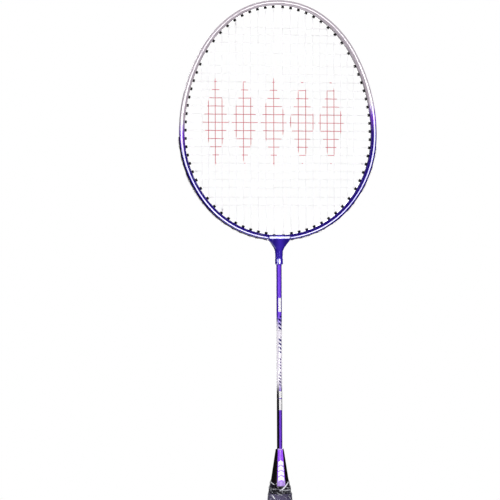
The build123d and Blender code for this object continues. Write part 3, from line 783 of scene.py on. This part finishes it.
def spin_round_rim(side, first, last, step):
    """Carries the selected section round the arcs from one angle to another, in steps of about a length."""
    for start, end, radius, middle in rim_arcs:
        start, end = max(start, first), min(end, last)
        if end > start:
            bpy.ops.mesh.spin(steps=max(2, round((end - start) * radius / step)), angle=side * (start - end),
                              axis=(0, 1, 0), center=(side * middle.x, 0, middle.z))


# %% [markdown]
# ## Where the strings pass
# There are 22 main strings, closer together towards the edge. A cross string meets the hoop between
# the outermost mains at even steps. Every hole's angle on one side, from the tip to the throat, is in
# one list, because grommets, hoop and strings all use it.

# %% Holes
mouth = -(tube_width / 2 + 2.7 * MM)         # where a string turns, inside the head
main_x = [(4.8 + 8.1 * i - 0.075 * i * (i - 1)) * MM for i in range(11)]
upper_holes = [rim_angle(0, across, 0.0, pi / 2, mouth) for across in main_x]
lower_holes = [rim_angle(0, across, pi, pi / 2, mouth) for across in main_x]
side_top, side_bottom = rim_point(upper_holes[-1], mouth).z, rim_point(lower_holes[-1], mouth).z
side_holes = [rim_angle(2, side_top + (side_bottom - side_top) * (i + 1) / 15, 0.0, pi, mouth)
              for i in range(14)]
holes = upper_holes + side_holes + lower_holes[::-1]
throat_hole = len(holes) - 1
sunk = {-1: 19, 1: 20}                        # grommets that sit in the groove, left and right
print(len(holes), "holes a side, main strings at", [round(across / MM, 1) for across in main_x])

# %% [markdown]
# ## The hoop
# The tube is flatter outside the head and rounder inside it. Its section is a plane with bevelled
# corners, and Spin carries the section round each arc in turn, which keeps it square to the bend. The
# string groove is the middle strip of the outer faces, pushed in with Inset. A curve with a bevel
# would also work, but it twists and can't stop the groove where the proud grommets begin.

# %% Hoop
bpy.ops.mesh.primitive_plane_add(size=1, location=(0, 0, 0))
hoop = bpy.context.object
hoop.name = "hoop"
groove_half, groove_deep = 1.7 * MM, 1.3 * MM
outer_corner, inner_corner = 1.1 * MM, 3.2 * MM
end_reach = 10.4 * MM                    # each end of the hoop stops this far from the middle
groove_margin = 3.6 * MM                 # the groove stops this far before the first proud grommet
with editing(hoop):
    bpy.ops.mesh.select_all(action="SELECT")
    bpy.ops.transform.resize(value=(tube_width, tube_depth, 1))
    pick("EDGE", lambda middle: middle.x > tube_width * 0.49)
    bpy.ops.mesh.subdivide(number_cuts=2)
    pick("VERT", lambda at: at.x > 0 and abs(at.y) < tube_depth * 0.4)
    bpy.ops.transform.resize(value=(1, groove_half / (tube_depth / 6), 1))
    pick("VERT", lambda at: at.x > 0 and abs(at.y) > tube_depth * 0.4)
    bpy.ops.mesh.bevel(offset=outer_corner, segments=5, affect="VERTICES")
    pick("VERT", lambda at: at.x < 0)
    bpy.ops.mesh.bevel(offset=inner_corner, segments=9, affect="VERTICES")
    bpy.ops.mesh.select_mode(type="VERT")
    place_all(lambda at: Vector((0, at.y, tip_z + at.x)))
    bpy.ops.mesh.delete(type="ONLY_FACE")
    for side in (1, -1):
        pick("VERT", lambda at: abs(at.x) < 0.001 * MM and at.z > tip_z - tube_width)
        spin_round_rim(side, 0.0, pi - asin(end_reach / throat_radius), 2.2 * MM)
    cap_ends()


def in_groove(middle):
    """Faces of the strip outside the hoop, down to the first proud grommet."""
    angle, out = rim_place(middle)
    last = holes[sunk[1 if middle.x > 0 else -1]] - groove_margin / flank_radius
    return out > tube_width * 0.49 and abs(middle.y) < groove_half and angle < last


with editing(hoop):
    pick("FACE", in_groove)
    bpy.ops.mesh.inset(thickness=0.06 * MM, depth=-groove_deep)
apply_modifier(hoop, "BEVEL", width=0.16 * MM, segments=2, limit_method="ANGLE", angle_limit=radians(50))
finish_piece(hoop, head_lacquer, "head_paint", "head_frame", crease=28)

# %% [markdown]
# ## The T-joint
# The T-joint is one casting: a bar that takes both ends of the hoop, deepest along a crest near its
# top, and a flare down to a round stem. It is drawn through sections, each a rectangle with rounded
# corners, which turns from sharp-cornered at the bar to nearly round at the stem.


# %% T-joint
def rounded_ring(width, depth, corner, level, points=12):
    """A ring of a rectangle with rounded corners, which stay within its depth, at a level."""
    corner = min(corner, depth / 2 - 0.02 * MM)
    ring = []
    for quarter, (right, back) in enumerate(((1, 1), (-1, 1), (-1, -1), (1, -1))):
        for step in range(points):
            angle = pi / 2 * (quarter + step / (points - 1))
            ring.append(Vector((right * (width / 2 - corner) + corner * cos(angle),
                                back * (depth / 2 - corner) + corner * sin(angle), level)))
    return ring


joint_top, crest_level, flare_top = 429.35 * MM, 425.55 * MM, 423.6 * MM
flare_bottom, stem_bottom, flare_steps = 412.3 * MM, 398.75 * MM, 14
bar_width, bar_depth, stem_width = 22.0 * MM, 10.5 * MM, 8.1 * MM
# the collar and the stem: how much wider than the stem, the corner, and the height over the joint's end
stem_rings = [(-0.7, 3.5, 0.0), (-0.2, 3.8, 0.1), (0.0, 3.4, 0.35), (0.0, 3.4, 0.7), (0.0, 3.4, 3.0),
              (0.0, 3.4, 5.4), (0.0, 3.4, 5.7), (-0.24, 3.9, 5.9), (-0.04, 3.9, 9.5), (0.14, 3.9, 12.4)]


def joint_depth(level):
    """The joint tapers evenly from its crest to its stem."""
    share = max(0.0, level - flare_bottom) / (crest_level - flare_bottom)
    return stem_width + (bar_depth - stem_width) * share


sections = [rounded_ring(stem_width + grow * MM, stem_width + grow * MM, corner * MM, stem_bottom + rise * MM)
            for grow, corner, rise in stem_rings]
for share in [step / flare_steps for step in range(flare_steps + 1)]:
    level = flare_bottom + (flare_top - flare_bottom) * share
    swell = 0.2 * MM * (1 - share)
    width = stem_width + swell + (bar_width - stem_width) * share ** 1.4
    sections.append(rounded_ring(width, joint_depth(level) + swell, (3.9 - 3.2 * share) * MM, level))
sections.append(rounded_ring(bar_width, joint_depth(crest_level), 0.7 * MM, crest_level))
edge = 1.9 * MM
for turn in [radians(4 + 86 * step / 9) for step in range(10)]:
    drawn_in = 1 - cos(turn)
    sections.append(rounded_ring(bar_width - 0.5 * MM * drawn_in, bar_depth - 0.1 * MM - 2 * edge * drawn_in,
                                 0.7 * MM, joint_top - edge + edge * sin(turn)))
joint = drawn_piece("t_joint_casting", sections)
finish_piece(joint, joint_lacquer, "joint_paint", "t_joint", crease=25)

# %% [markdown]
# ## The shaft
# The shaft is a drawn steel tube. Its ends are inside the joint and the handle, so it needs only its
# wall, turned in many steps so that its edges stay round in close view.

# %% Shaft
shaft_low, shaft_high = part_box("shaft")
shaft_radius = (shaft_high.x - shaft_low.x) / 2
inside_radius = shaft_radius - 0.7 * MM
edge = 0.15 * MM
outline = [(inside_radius, shaft_low.z), (shaft_radius - edge, shaft_low.z),
           (shaft_radius, shaft_low.z + edge), (shaft_radius, shaft_high.z - edge),
           (shaft_radius - edge, shaft_high.z), (inside_radius, shaft_high.z),
           (inside_radius, shaft_low.z)]
shaft = turned_piece("shaft_tube", outline, 64)
finish_piece(shaft, shaft_lacquer, "shaft_paint", "shaft", crease=50)

# %% [markdown]
# ## Cone cap
# The cap is turned: a rounded lip round the shaft, a straight taper, and a skirt over the handle's
# end that the tape covers. Its wall is hollow below, as a moulded cap's is.

# %% Cone cap
skirt_bottom, skirt_radius, skirt_inside, cap_bore = 164.0 * MM, 10.25 * MM, 8.65 * MM, 2.86 * MM
taper_top, taper_radius, taper_steps = 208.6 * MM, 4.3 * MM, 10
lip_flat, lip_reach, lip_drop = 3.15 * MM, 1.05 * MM, 0.9 * MM
outline = [(cap_bore, cone_top - 0.3 * MM), (2.95 * MM, cone_top)]
outline += [(lip_flat + lip_reach * sin(radians(a)), cone_top - lip_drop * (1 - cos(radians(a))))
            for a in range(0, 91, 15)]
outline += [(taper_radius + (skirt_radius - taper_radius) * step / taper_steps,
             taper_top - (taper_top - taper_bottom) * step / taper_steps)
            for step in range(1, taper_steps + 1)]
outline += [(skirt_radius, skirt_bottom), (skirt_inside, skirt_bottom), (skirt_inside, taper_bottom),
            (cap_bore, 207.0 * MM), (cap_bore, cone_top - 0.3 * MM)]
cone = turned_piece("cone_cap_shell", outline, 72)
finish_piece(cone, cap_plastic, "cap_plastic", "cone_cap", crease=35)

# %% [markdown]
# ## The handle's shape
# The handle is an octagon, wider than it is deep. A rule that gives the handle's radius in any
# direction, with soft corners, lets a round shape be pushed out to the octagon: each of the four
# pairs of faces limits the radius, and a high power blends them at the corners.


# %% Octagon rule
def handle_radius(angle, grow, softness=26):
    """The radius of the eight-sided handle at an angle, grown all round."""
    faces = ((0.0, 10.7), (pi / 2, 9.9), (pi / 4, 10.89), (3 * pi / 4, 10.89))
    total = sum((abs(cos(angle - turn)) / (reach * MM + grow)) ** softness for turn, reach in faces)
    return total ** (-1 / softness)


def flare(level):
    """How much the handle grows towards the butt."""
    growth, starts, run = 1.6 * MM, 22.4 * MM, 19.0 * MM
    return growth * min(1.0, max(0.0, (starts - level) / run))


def along(table, level):
    """A size in mm read between the rows of a short table of (level, size)."""
    at = level / MM
    for (low, small), (high, large) in zip(table, table[1:]):
        if at <= high:
            return (small + (large - small) * max(0.0, at - low) / (high - low)) * MM
    return table[-1][1] * MM


grip_grow = [(0, 1.8), (144, 1.8), (158, 1.35), (164, 0.95)]     # wraps thinner where it ends
film_grow = [(0, 2.08), (144, 2.08), (158, 1.62), (164, 1.22), (170, 0.5)]
film_neck = [(0, 0), (160, 9.0), (163.6, 11.42), (169.8, 11.42), (172.4, 10.38), (177, 9.66)]


# %% [markdown]
# ## Grip tape
# Grip tape is wound up the handle, and each turn laps over the one before, so the lower edge of each
# turn stands proud. Its section over one turn is drawn as an outline and wound with a Screw modifier.
# The round coil is then pushed out to the octagon, cut level at both ends and closed.

# %% Grip tape
lap = [(0.0, 0.0), (0.30, 0.06), (0.46, 0.25), (0.52, 0.7), (0.50, 2.0), (0.44, 4.5), (0.34, 8.0),
       (0.24, 11.5), (0.12, 15.0), (0.04, 17.5), (0.0, 19.0)]
grip = outline_piece("grip_wrap", [Vector((coil_radius + out * MM, 0, up * MM)) for out, up in lap])
apply_modifier(grip, "SCREW", angle=2 * pi, screw_offset=coil_pitch, iterations=10, steps=96, render_steps=96,
               axis="Z", use_merge_vertices=True, merge_threshold=0.002 * MM)
coil_drop = Vector((0, 0, 12.0 * MM))    # so that the coil starts below the handle's end
grip_low, grip_high, grip_inside = 3.5 * MM, 164.06 * MM, 10.9 * MM


def onto_handle(at):
    """A point of the round coil, pushed out to the octagon."""
    angle, proud = atan2(at.y, at.x), hypot(at.x, at.y) - coil_radius
    radius = handle_radius(angle, along(grip_grow, at.z) - 0.32 * MM + flare(at.z)) + proud
    return Vector((radius * cos(angle), radius * sin(angle), at.z))


with editing(grip):
    bpy.ops.mesh.select_all(action="SELECT")
    bpy.ops.mesh.remove_doubles(threshold=0.004 * MM)
    place_selected(lambda at: at - coil_drop)
    for level, beyond in ((grip_low, "clear_inner"), (grip_high, "clear_outer")):
        bpy.ops.mesh.select_all(action="SELECT")
        bpy.ops.mesh.bisect(plane_co=(0, 0, level), plane_no=(0, 0, 1), threshold=0.001 * MM,
                            **{beyond: True})
    place_all(onto_handle)
    for level in (grip_low, grip_high):
        pick("VERT", lambda at: abs(at.z - level) < 0.01 * MM)
        bpy.ops.mesh.select_mode(type="EDGE")
        for inwards in (lambda at: 0.93, lambda at: grip_inside / hypot(at.x, at.y)):
            bpy.ops.mesh.extrude_region_move()
            place_selected(lambda at: Vector((at.x * inwards(at), at.y * inwards(at), at.z)))
    bpy.ops.mesh.select_all(action="SELECT")
    bpy.ops.mesh.normals_make_consistent(inside=False)
finish_piece(grip, grip_leather, "grip", "grip_tape", crease=50)

# %% [markdown]
# ## Finishing tape
# A short turn of black tape holds the grip's end. It laps over itself, so its outside is a slow spiral
# with a step where the tape ends. Its edges are softly rounded.

# %% Finishing tape
tape_low, tape_radius, tape_end = 164.1 * MM, 10.33 * MM, -2.0
tape_section = [(0.0, 0.0), (0.72, 0.0), (0.86, 0.15), (0.92, 0.6), (0.94, 2.8), (0.92, 5.0), (0.86, 5.45),
                (0.72, 5.6), (0.0, 5.6), (0.0, 0.0)]
tape_thickness = 0.94 * MM


def lapped(at):
    """A point of the band, with the step of its end and soft ripples added to its outside."""
    radius, angle = hypot(at.x, at.y), atan2(at.y, at.x)
    share = (radius - tape_radius) / tape_thickness
    past_end = angle - tape_end
    end_step = 0.16 * MM * min(1.0, max(0.0, past_end / 0.06)) * max(0.0, 1 - past_end / 5.0)
    ripple = 0.05 * MM * sin(angle * 7 + at.z / MM * 1.1) + 0.04 * MM * sin(angle * 13 - at.z / MM * 2.0)
    new_radius = radius + share * (end_step + ripple - 0.12 * MM)
    return Vector((new_radius * cos(angle), new_radius * sin(angle), at.z))


outline = [(tape_radius + out * MM, tape_low + up * MM) for out, up in tape_section]
tape = turned_piece("finishing_band", outline, 96)
with editing(tape):
    place_all(lapped)
finish_piece(tape, vinyl_tape, "tape", "finishing_tape", crease=50)

# %% [markdown]
# ## Butt cap
# The butt cap closes the handle with an octagonal flange. It is drawn through rings of the same
# octagon, with rounded rims, a shallow dish in its end face, and a skirt that goes up inside the grip.


# %% Butt cap
def handle_ring(grow, level, points=64, softness=60):
    """A ring of the octagon at a level."""
    return [Vector((cos(angle), sin(angle), 0)) * handle_radius(angle, grow, softness) + Vector((0, 0, level))
            for angle in [2 * pi * i / points for i in range(points)]]


# rings as (growth, level) in mm: the dish in the end face, the two rounded rims, the skirt, its inside
rim_grow, lower_round, upper_round, upper_start = 3.8, 0.9, 0.5, 2.9
end_rings = [(rim_grow - 6.0, 0.35), (rim_grow - 4.2, 0.30), (rim_grow - 3.6, 0.0)]
end_rings += [(rim_grow - lower_round * (1 - sin(radians(a))), lower_round * (1 - cos(radians(a))))
              for a in range(0, 91, 18)]
end_rings += [(rim_grow - upper_round * (1 - cos(radians(a))), upper_start + upper_round * sin(radians(a)))
              for a in range(0, 91, 22)]
end_rings += [(1.6, 3.4), (0.55, 22.4), (0.1, 22.4), (0.1, 2.65)]
butt = drawn_piece("butt_end", [handle_ring(grow * MM, level * MM) for grow, level in end_rings])
finish_piece(butt, butt_plastic, "cap_plastic", "butt_cap", crease=40)

# %% [markdown]
# ## Film
# Shops sell the racket with a clear film shrunk loosely over the grip. It is drawn as a fine sleeve with
# an uneven rim and then creased: each fold is a short ridge across the sleeve, most of them where the
# film gathers round the cone. A cloth simulation would give softer folds, but stiff film creases sharply.

# %% Film
film_low, film_top, gather_level, plain_share = 3.95 * MM, 176.6 * MM, 150.0 * MM, 0.25
rings, around_points = 100, 232
# the small folds round the cone and down the grip: how many, between which heights, how far each goes
# round and up, and its width and lift
small_folds = [(74, (157.0, 176.0), 44, 5.0, (0.5, 0.9), (0.15, 0.35)),
               (46, (10.0, 156.0), 30, 14.0, (0.8, 1.4), (0.1, 0.25))]
folding = random.Random(11)
folds = list(main_folds)
for count, heights, run, rise, widths, lifts in small_folds:
    for _ in range(count):
        turn, level = folding.uniform(-180, 180), folding.uniform(*heights)
        folds.append((turn, level, turn + folding.uniform(-run, run), level + folding.uniform(-rise, rise),
                      folding.uniform(*widths), folding.uniform(*lifts), 0.0))


def film_level(share):
    """The rings are closer together in the gathered part."""
    if share < plain_share:
        return film_low + (gather_level - film_low) * share / plain_share
    return gather_level + (film_top - gather_level) * (share - plain_share) / (1 - plain_share)


def fold_lift(turn, level):
    """How far the folds lift the film at a place."""
    lift = 0.0
    for start_turn, start, end_turn, end, width, raised, _ in folds:
        if not min(start, end) - 2 * width < level / MM < max(start, end) + 2 * width:
            continue
        run, rise = radians(end_turn - start_turn) * film_reach / MM, end - start
        away_x = ((radians(turn - start_turn) + pi) % (2 * pi) - pi) * film_reach / MM
        away_z = level / MM - start
        share = min(1.0, max(0.0, (away_x * run + away_z * rise) / (run ** 2 + rise ** 2)))
        distance = hypot(away_x - run * share, away_z - rise * share) / width
        if distance < 1:
            lift = max(lift, raised * MM * (1 - distance) ** 1.3)
    return lift


def film_point(angle, share):
    """A point on the film, from its lower rim (0) to its upper rim (1), pushed out by the folds."""
    rim_wave = 0.5 * MM * sin(3 * angle + 0.6) + 0.25 * MM * sin(7 * angle + 2.0)
    level = film_level(share) + rim_wave * max(0.0, share - 0.8) / 0.2
    sleeve = handle_radius(angle, along(film_grow, level) + flare(level), 20)
    if level > skirt_bottom:
        sleeve *= max(0.0, 1 - (level - skirt_bottom) / (30 * MM))
    radius = max(sleeve, along(film_neck, level))
    ripple = 0.06 * MM * sin(5 * angle + level / MM * 0.21) + 0.04 * MM * sin(9 * angle - level / MM * 0.47)
    radius += ripple + fold_lift(degrees(angle) + 90, level)
    return Vector((radius * cos(angle), radius * sin(angle), level))


bpy.ops.mesh.primitive_cylinder_add(vertices=around_points, radius=12 * MM, depth=1, end_fill_type="NOTHING")
film = bpy.context.object
film.name = "film_sleeve"
with editing(film):
    pick("EDGE", lambda middle: abs(middle.z) < 0.01)
    bpy.ops.mesh.subdivide(number_cuts=rings)
    place_all(lambda at: film_point(atan2(at.y, at.x), at.z + 0.5))
apply_modifier(film, "SOLIDIFY", thickness=0.08 * MM, offset=0.0)
finish_piece(film, clear_film, "film", "grip_film", crease=24)

# %% [markdown]
# ## Grommets
# A grommet is a small nylon tube with a head. One is turned for the groove and one, with a larger
# head, for the lower head, where a thin moulded strip joins them. Copies are then set at every hole,
# and each side's copies are joined. The two in the T-joint are plain tubes.


# %% Grommets
def grommet_outline(reach_in, head_face, head_radius, head_height):
    """The section of a grommet: bore, rounded mouth, barrel and head."""
    bore, body = 0.72, 1.5
    return [(r * MM, h * MM) for r, h in ((bore, reach_in + 0.6), (bore + 0.08, reach_in + 0.1),
                                          (bore + 0.2, reach_in), (body - 0.22, reach_in),
                                          (body - 0.06, reach_in + 0.07), (body, reach_in + 0.3),
                                          (body, head_face - head_height),
                                          (head_radius - 0.1, head_face - head_height),
                                          (head_radius, head_face - head_height + 0.1),
                                          (head_radius, head_face - 0.2), (head_radius - 0.2, head_face),
                                          (bore + 0.15, head_face), (bore, head_face - 0.2),
                                          (bore, reach_in + 0.6))]


def joined_copies(model, name, places):
    """Copies of a model, each with its own mesh, set at (place, turn) and joined."""
    made = []
    for place, turn in places:
        copy = place_object(name, model.data.copy())
        copy.location = place
        copy.rotation_euler.y = turn
        made.append(copy)
    select_only(*made)
    bpy.ops.object.transform_apply(location=True, rotation=True, scale=True)
    bpy.ops.object.join()
    made[0].name = name
    return made[0]


def hole_places(side, first, last):
    """The place and outward turn of each hole of a side from the first to before the last."""
    return [(rim_point(angle, 0.0, side), side * angle) for angle in holes[first:last]]


def strip_piece(name, side):
    """The strip between the lower grommets: a flat ribbon spun along the outside of the hoop."""
    beyond = 1.8 * MM / flank_radius     # the strip goes a little past its end grommets
    first, last = holes[sunk[side]] - beyond, holes[throat_hole - 1] + beyond
    inner, outer, half = tube_width / 2 + 0.03 * MM, tube_width / 2 + 0.48 * MM, 3.2 * MM
    section = [(inner, -half), (outer - 0.12 * MM, -half), (outer, -half + 0.25 * MM),
               (outer, half - 0.25 * MM), (outer - 0.12 * MM, half), (inner, half), (inner, -half)]
    ribbon = outline_piece(name, [rim_point(first, out, side, depth) for out, depth in section])
    with editing(ribbon):
        close_up()
        bpy.ops.mesh.select_all(action="SELECT")
        spin_round_rim(side, first, last, 2.5 * MM)
        cap_ends()
    return ribbon


# in mm from the hoop's centre line: where a barrel ends inside the head, and the two heads' outer faces
barrel_end, sunk_face, proud_face = -4.7, 1.8, 3.5
sunk_model = turned_piece("sunk_grommet", grommet_outline(barrel_end, sunk_face, 1.6, 0.4), 18)
proud_model = turned_piece("proud_grommet", grommet_outline(barrel_end, proud_face, 1.8, 0.8), 18)
for side, word in ((-1, "left"), (1, "right")):
    upper = joined_copies(sunk_model, f"grommets_in_groove_{word}", hole_places(side, 0, sunk[side]))
    finish_piece(upper, grommet_nylon, "grommet", f"grommets_upper_{word}", crease=40)
    lower = joined_copies(proud_model, f"grommet_strip_{word}",
                          hole_places(side, sunk[side], throat_hole))
    select_only(lower, strip_piece(f"ribbon_{word}", side))
    bpy.ops.object.join()
    finish_piece(lower, grommet_nylon, "grommet", f"grommets_lower_{word}", crease=40)

throat_outline = [(0.72, 423.8), (1.25, 423.8), (1.3, 424.0), (1.3, 429.95), (1.2, 430.12), (1.05, 430.15),
                  (0.85, 430.15), (0.72, 430.0), (0.72, 423.8)]
throat_model = turned_piece("throat_grommet", [(r * MM, h * MM) for r, h in throat_outline], 18)
throat_pair = joined_copies(throat_model, "grommets_in_joint",
                            [((across, 0, 0), 0) for across in (-main_x[0], main_x[0])])
finish_piece(throat_pair, grommet_nylon, "grommet", "grommets_throat", crease=40)
for model in (sunk_model, proud_model, throat_model):
    bpy.data.objects.remove(model)

# %% [markdown]
# ## Strings
# The racket has two strings. One runs up and down and is straight between grommets. The other runs
# across and passes over and under each main string. Both are drawn as a smooth curve through their
# turns, with a round bevel, and made into meshes. Only the crossings and the turns need points.

# %% String routes
string_radius, main_y, turn_air = 0.35 * MM, 0.38 * MM, 0.12 * MM
sunk_turn, proud_turn = [face * MM + turn_air + string_radius for face in (sunk_face, proud_face)]
all_mains = [-across for across in reversed(main_x)] + main_x
first_cross, last_cross, lowest_main, cross_ties = 6, 27, 25, (5, 28)
weave_lift, weave_margin, tail = 1.44 * MM, 2.6 * MM, 3.4 * MM


def inner_turn(hole, side, depth):
    """Where a string turns at a hole's mouth, inside the head."""
    return rim_point(holes[hole], mouth, side, depth)


def outer_turn(hole, side, depth):
    """Where a string turns over a grommet's head, outside the hoop."""
    point = rim_point(holes[hole], sunk_turn if hole < sunk[side] else proud_turn, side, depth)
    if hole == throat_hole:
        point.x = side * main_x[0]
    return point


def main_tie(side):
    """The side grommet that the main string's end comes back through."""
    outermost = 0 if side < 0 else len(all_mains) - 1
    hole = lowest_main - 2
    return hole if (outermost + hole) % 2 else hole - 1


def main_route():
    """One string: up and down the mains from the left tie-off to the right one."""
    points = []
    for side in (-1, 1):
        tie = main_tie(side)
        half = [inner_turn(tie, side, main_y) - Vector((side * tail, 0, 0)),
                inner_turn(tie, side, main_y)]
        half += [outer_turn(hole, side, main_y) for hole in range(tie, lowest_main)]
        for number in reversed(range(11)):
            run = [outer_turn(number, side, main_y), inner_turn(number, side, main_y),
                   inner_turn(throat_hole - number, side, main_y),
                   outer_turn(throat_hole - number, side, main_y)]
            half += run[::-1] if (10 - number) % 2 == 0 else run
        points += half if side < 0 else half[::-1]
    return points


def cross_route():
    """One string: down the crosses, over and under the mains, from one tie-off to the other."""
    first_tie, last_tie = [inner_turn(hole, -1, -main_y) for hole in cross_ties]
    points = [first_tie - Vector((0, 0, tail)), first_tie, outer_turn(cross_ties[0], -1, -main_y)]
    for hole in range(first_cross, last_cross + 1):
        side = -1 if (hole - first_cross) % 2 == 0 else 1
        start = inner_turn(hole, -1, -main_y)
        woven = [Vector((across, main_y + weave_lift * (-1) ** (number + hole), start.z))
                 for number, across in enumerate(all_mains) if abs(across) < abs(start.x) - weave_margin]
        points += [outer_turn(hole, side, -main_y), inner_turn(hole, side, -main_y)] + woven[::-side]
        points += [inner_turn(hole, -side, -main_y), outer_turn(hole, -side, -main_y)]
    return points + [outer_turn(cross_ties[1], -1, -main_y), last_tie, last_tie + Vector((0, 0, tail))]


def held_at_turns(points, lead=0.9 * MM):
    """Adds a point just before and after each long run's turn, so that the runs stay straight."""
    held = [points[0]]
    for before, at, after in zip(points, points[1:], points[2:]):
        goes_up = abs((at - before).z) + abs((after - at).z) > 0.2 * MM
        if goes_up and (at - before).length > 2.4 * lead:
            held.append(at - (at - before).normalized() * lead)
        held.append(at)
        if goes_up and (after - at).length > 2.4 * lead:
            held.append(at + (after - at).normalized() * lead)
    return held + [points[-1]]


def string_piece(name, route, radius=string_radius, smoothness=3):
    """A round string along a smooth curve, as a mesh."""
    curve = bpy.data.curves.new(name, "CURVE")
    curve.dimensions = "3D"
    line = curve.splines.new("NURBS")
    line.points.add(len(route) - 1)
    for point, at in zip(line.points, route):
        point.co = (*at, 1)
    line.order_u, line.use_endpoint_u = 3, True
    line.resolution_u = smoothness
    curve.bevel_depth, curve.bevel_resolution, curve.use_fill_caps = radius, 1, True
    select_only(place_object(name, curve))
    bpy.ops.object.convert(target="MESH")
    return bpy.context.object


# %% Strings
for name, route, node in (("main_string_run", main_route(), "main_string"),
                          ("cross_string_run", cross_route(), "cross_string")):
    finish_piece(string_piece(name, held_at_turns(route)), string_nylon, "string", node, crease=80)

# %% [markdown]
# ## Knots
# Each end is tied round the run beside it with a few tight turns. A knot is a short oval coil that
# holds both strings, drawn as the strings are. There is one at each of the four tie-off places.

# %% Knots
coil_points, coil_turns, coil_start, coil_length = 24, 3, 1.35 * MM, 2.1 * MM
coil_depth, coil_width, front_to_back = 1.06 * MM, 0.72 * MM, Vector((0, 1, 0))
tie_places = [(inner_turn(main_tie(side), side, 0.0), Vector((-side, 0, 0))) for side in (-1, 1)]
tie_places += [(inner_turn(hole, -1, 0.0), Vector((0, 0, up))) for hole, up in zip(cross_ties, (-1, 1))]
coils = []
for number, (start, ahead) in enumerate(tie_places):
    beside = ahead.cross(front_to_back)
    coil = []
    for share in [i / coil_points for i in range(coil_points + 1)]:
        turn = coil_turns * 2 * pi * share
        coil.append(start + ahead * (coil_start + coil_length * share)
                    + front_to_back * coil_depth * cos(turn) + beside * coil_width * sin(turn))
    coils.append(string_piece(f"knot_{number}", coil, 0.33 * MM, 3))
select_only(*coils)
bpy.ops.object.join()
coils[0].name = "tied_knots"
finish_piece(coils[0], string_nylon, "string", "string_knots", crease=80)

# %% [markdown]
# ## Studio
# A glossy racket shows its studio in its paint, so two kinds of lamp are used. Four soft boxes show in
# the gloss: a wide one in front of the head, which draws the thin light line along the hoop, a smaller
# one below it for the lower hoop and the joint, a narrow one at the left, which draws a soft line down
# the shaft, and one behind. The fill lamps are left out of reflections: they only light the colours,
# from the front, the sides and the top. The surroundings are white where the camera looks and darker
# in reflections, which keeps the dark paint dark.


# %% Lights
def soft_box(name, turn, level, distance, width, height, radiance, in_gloss):
    """An area light round the racket at an angle from its front, aimed at it."""
    data = bpy.data.lights.new(name, "AREA")
    data.shape, data.size, data.size_y = "RECTANGLE", width, height
    data.energy = radiance * pi * width * height
    lamp = place_object(name, data)
    lamp.location = Vector((sin(radians(turn)) * distance, -cos(radians(turn)) * distance, level))
    lamp.rotation_euler = (lamp_target - lamp.location).to_track_quat("-Z", "Y").to_euler()
    lamp.visible_camera = False
    lamp.visible_glossy = in_gloss


lamp_target = Vector((0, 0, 0.42))
# each lamp: its turn from the front, level, distance, width, height, radiance, and if it shows in gloss
lamps = {"key_box": (4.5, 0.665, 2.1, 1.10, 0.29, 7.6, True),
         "low_box": (8.0, 0.425, 2.1, 0.50, 0.19, 13.0, True),
         "left_strip": (-48.5, 0.375, 1.9, 0.42, 0.13, 9.0, True),
         "front_fill": (-10, 0.90, 2.1, 1.3, 1.0, 5.0, False),
         "left_fill": (-105, 0.70, 1.8, 0.9, 1.2, 2.2, False),
         "right_fill": (100, 0.50, 1.8, 0.9, 1.4, 2.2, False),
         "top_fill": (20, 2.2, 0.5, 1.2, 1.2, 1.6, False),
         "back_box": (172, 0.70, 2.1, 0.7, 1.3, 4.0, True)}
for name, settings in lamps.items():
    soft_box(name, *settings)

# %% World and floor
world = bpy.data.worlds.new("studio")
bpy.context.scene.world = world
world.use_nodes = True
tree = world.node_tree
tree.nodes.clear()
path = add_node(tree, "ShaderNodeLightPath").outputs
direction = add_node(tree, "ShaderNodeSeparateXYZ")
tree.links.new(add_node(tree, "ShaderNodeTexCoord").outputs["Generated"], direction.inputs[0])
behind = between(tree, direction.outputs[1], 0.8, 1.0)
back_glow, dark_studio, room_light = 0.35, 0.015, 0.30
reflected = scaled(tree, behind, back_glow, dark_studio)
strength = largest(tree, path["Is Camera Ray"], path["Is Transmission Ray"])
glossy = times(tree, path["Is Glossy Ray"], reflected)
plain = minus(tree, 1.0, largest(tree, strength, path["Is Glossy Ray"]), clamp=True)
total = plus(tree, plus(tree, strength, glossy), times(tree, plain, room_light))
shine = add_node(tree, "ShaderNodeBackground")
shine.inputs["Color"].default_value = (1, 1, 1, 1)
feed(tree, total, shine.inputs["Strength"])
tree.links.new(shine.outputs[0], add_node(tree, "ShaderNodeOutputWorld").inputs[0])

bpy.ops.mesh.primitive_circle_add(vertices=96, radius=0.46, fill_type="NGON", location=(0, 0, 0))
floor = bpy.context.object
floor.name = "studio_floor"
floor_paper, tree, shader = new_finish("floor_paper", roughness=0.9, specular_ior_level=0.1)
place = own_place(tree)[0]
tone = noise(tree, place, 30.0, 2.0)
lay_colour(tree, shader, mixed(tree, tone, shade(244, 243, 244), shade(250, 250, 250)))
glow = add_node(tree, "ShaderNodeEmission")
glow.inputs["Color"].default_value = (1, 1, 1, 1)
away = add_node(tree, "ShaderNodeVectorMath", operation="LENGTH")
feed(tree, place, away.inputs[0])
far = between(tree, away.outputs["Value"], 0.10, 0.42, 0.7, 1.0)
path = add_node(tree, "ShaderNodeLightPath").outputs
seen = largest(tree, path["Is Camera Ray"], largest(tree, path["Is Glossy Ray"], path["Is Transmission Ray"]))
blend = add_node(tree, "ShaderNodeMixShader")
feed(tree, times(tree, seen, far), blend.inputs[0])
tree.links.new(shader.outputs[0], blend.inputs[1])
tree.links.new(glow.outputs[0], blend.inputs[2])
tree.links.new(blend.outputs[0], tree.nodes["Material Output"].inputs[0])
floor.data.materials.append(floor_paper)

bpy.context.scene.view_settings.view_transform = "Standard"
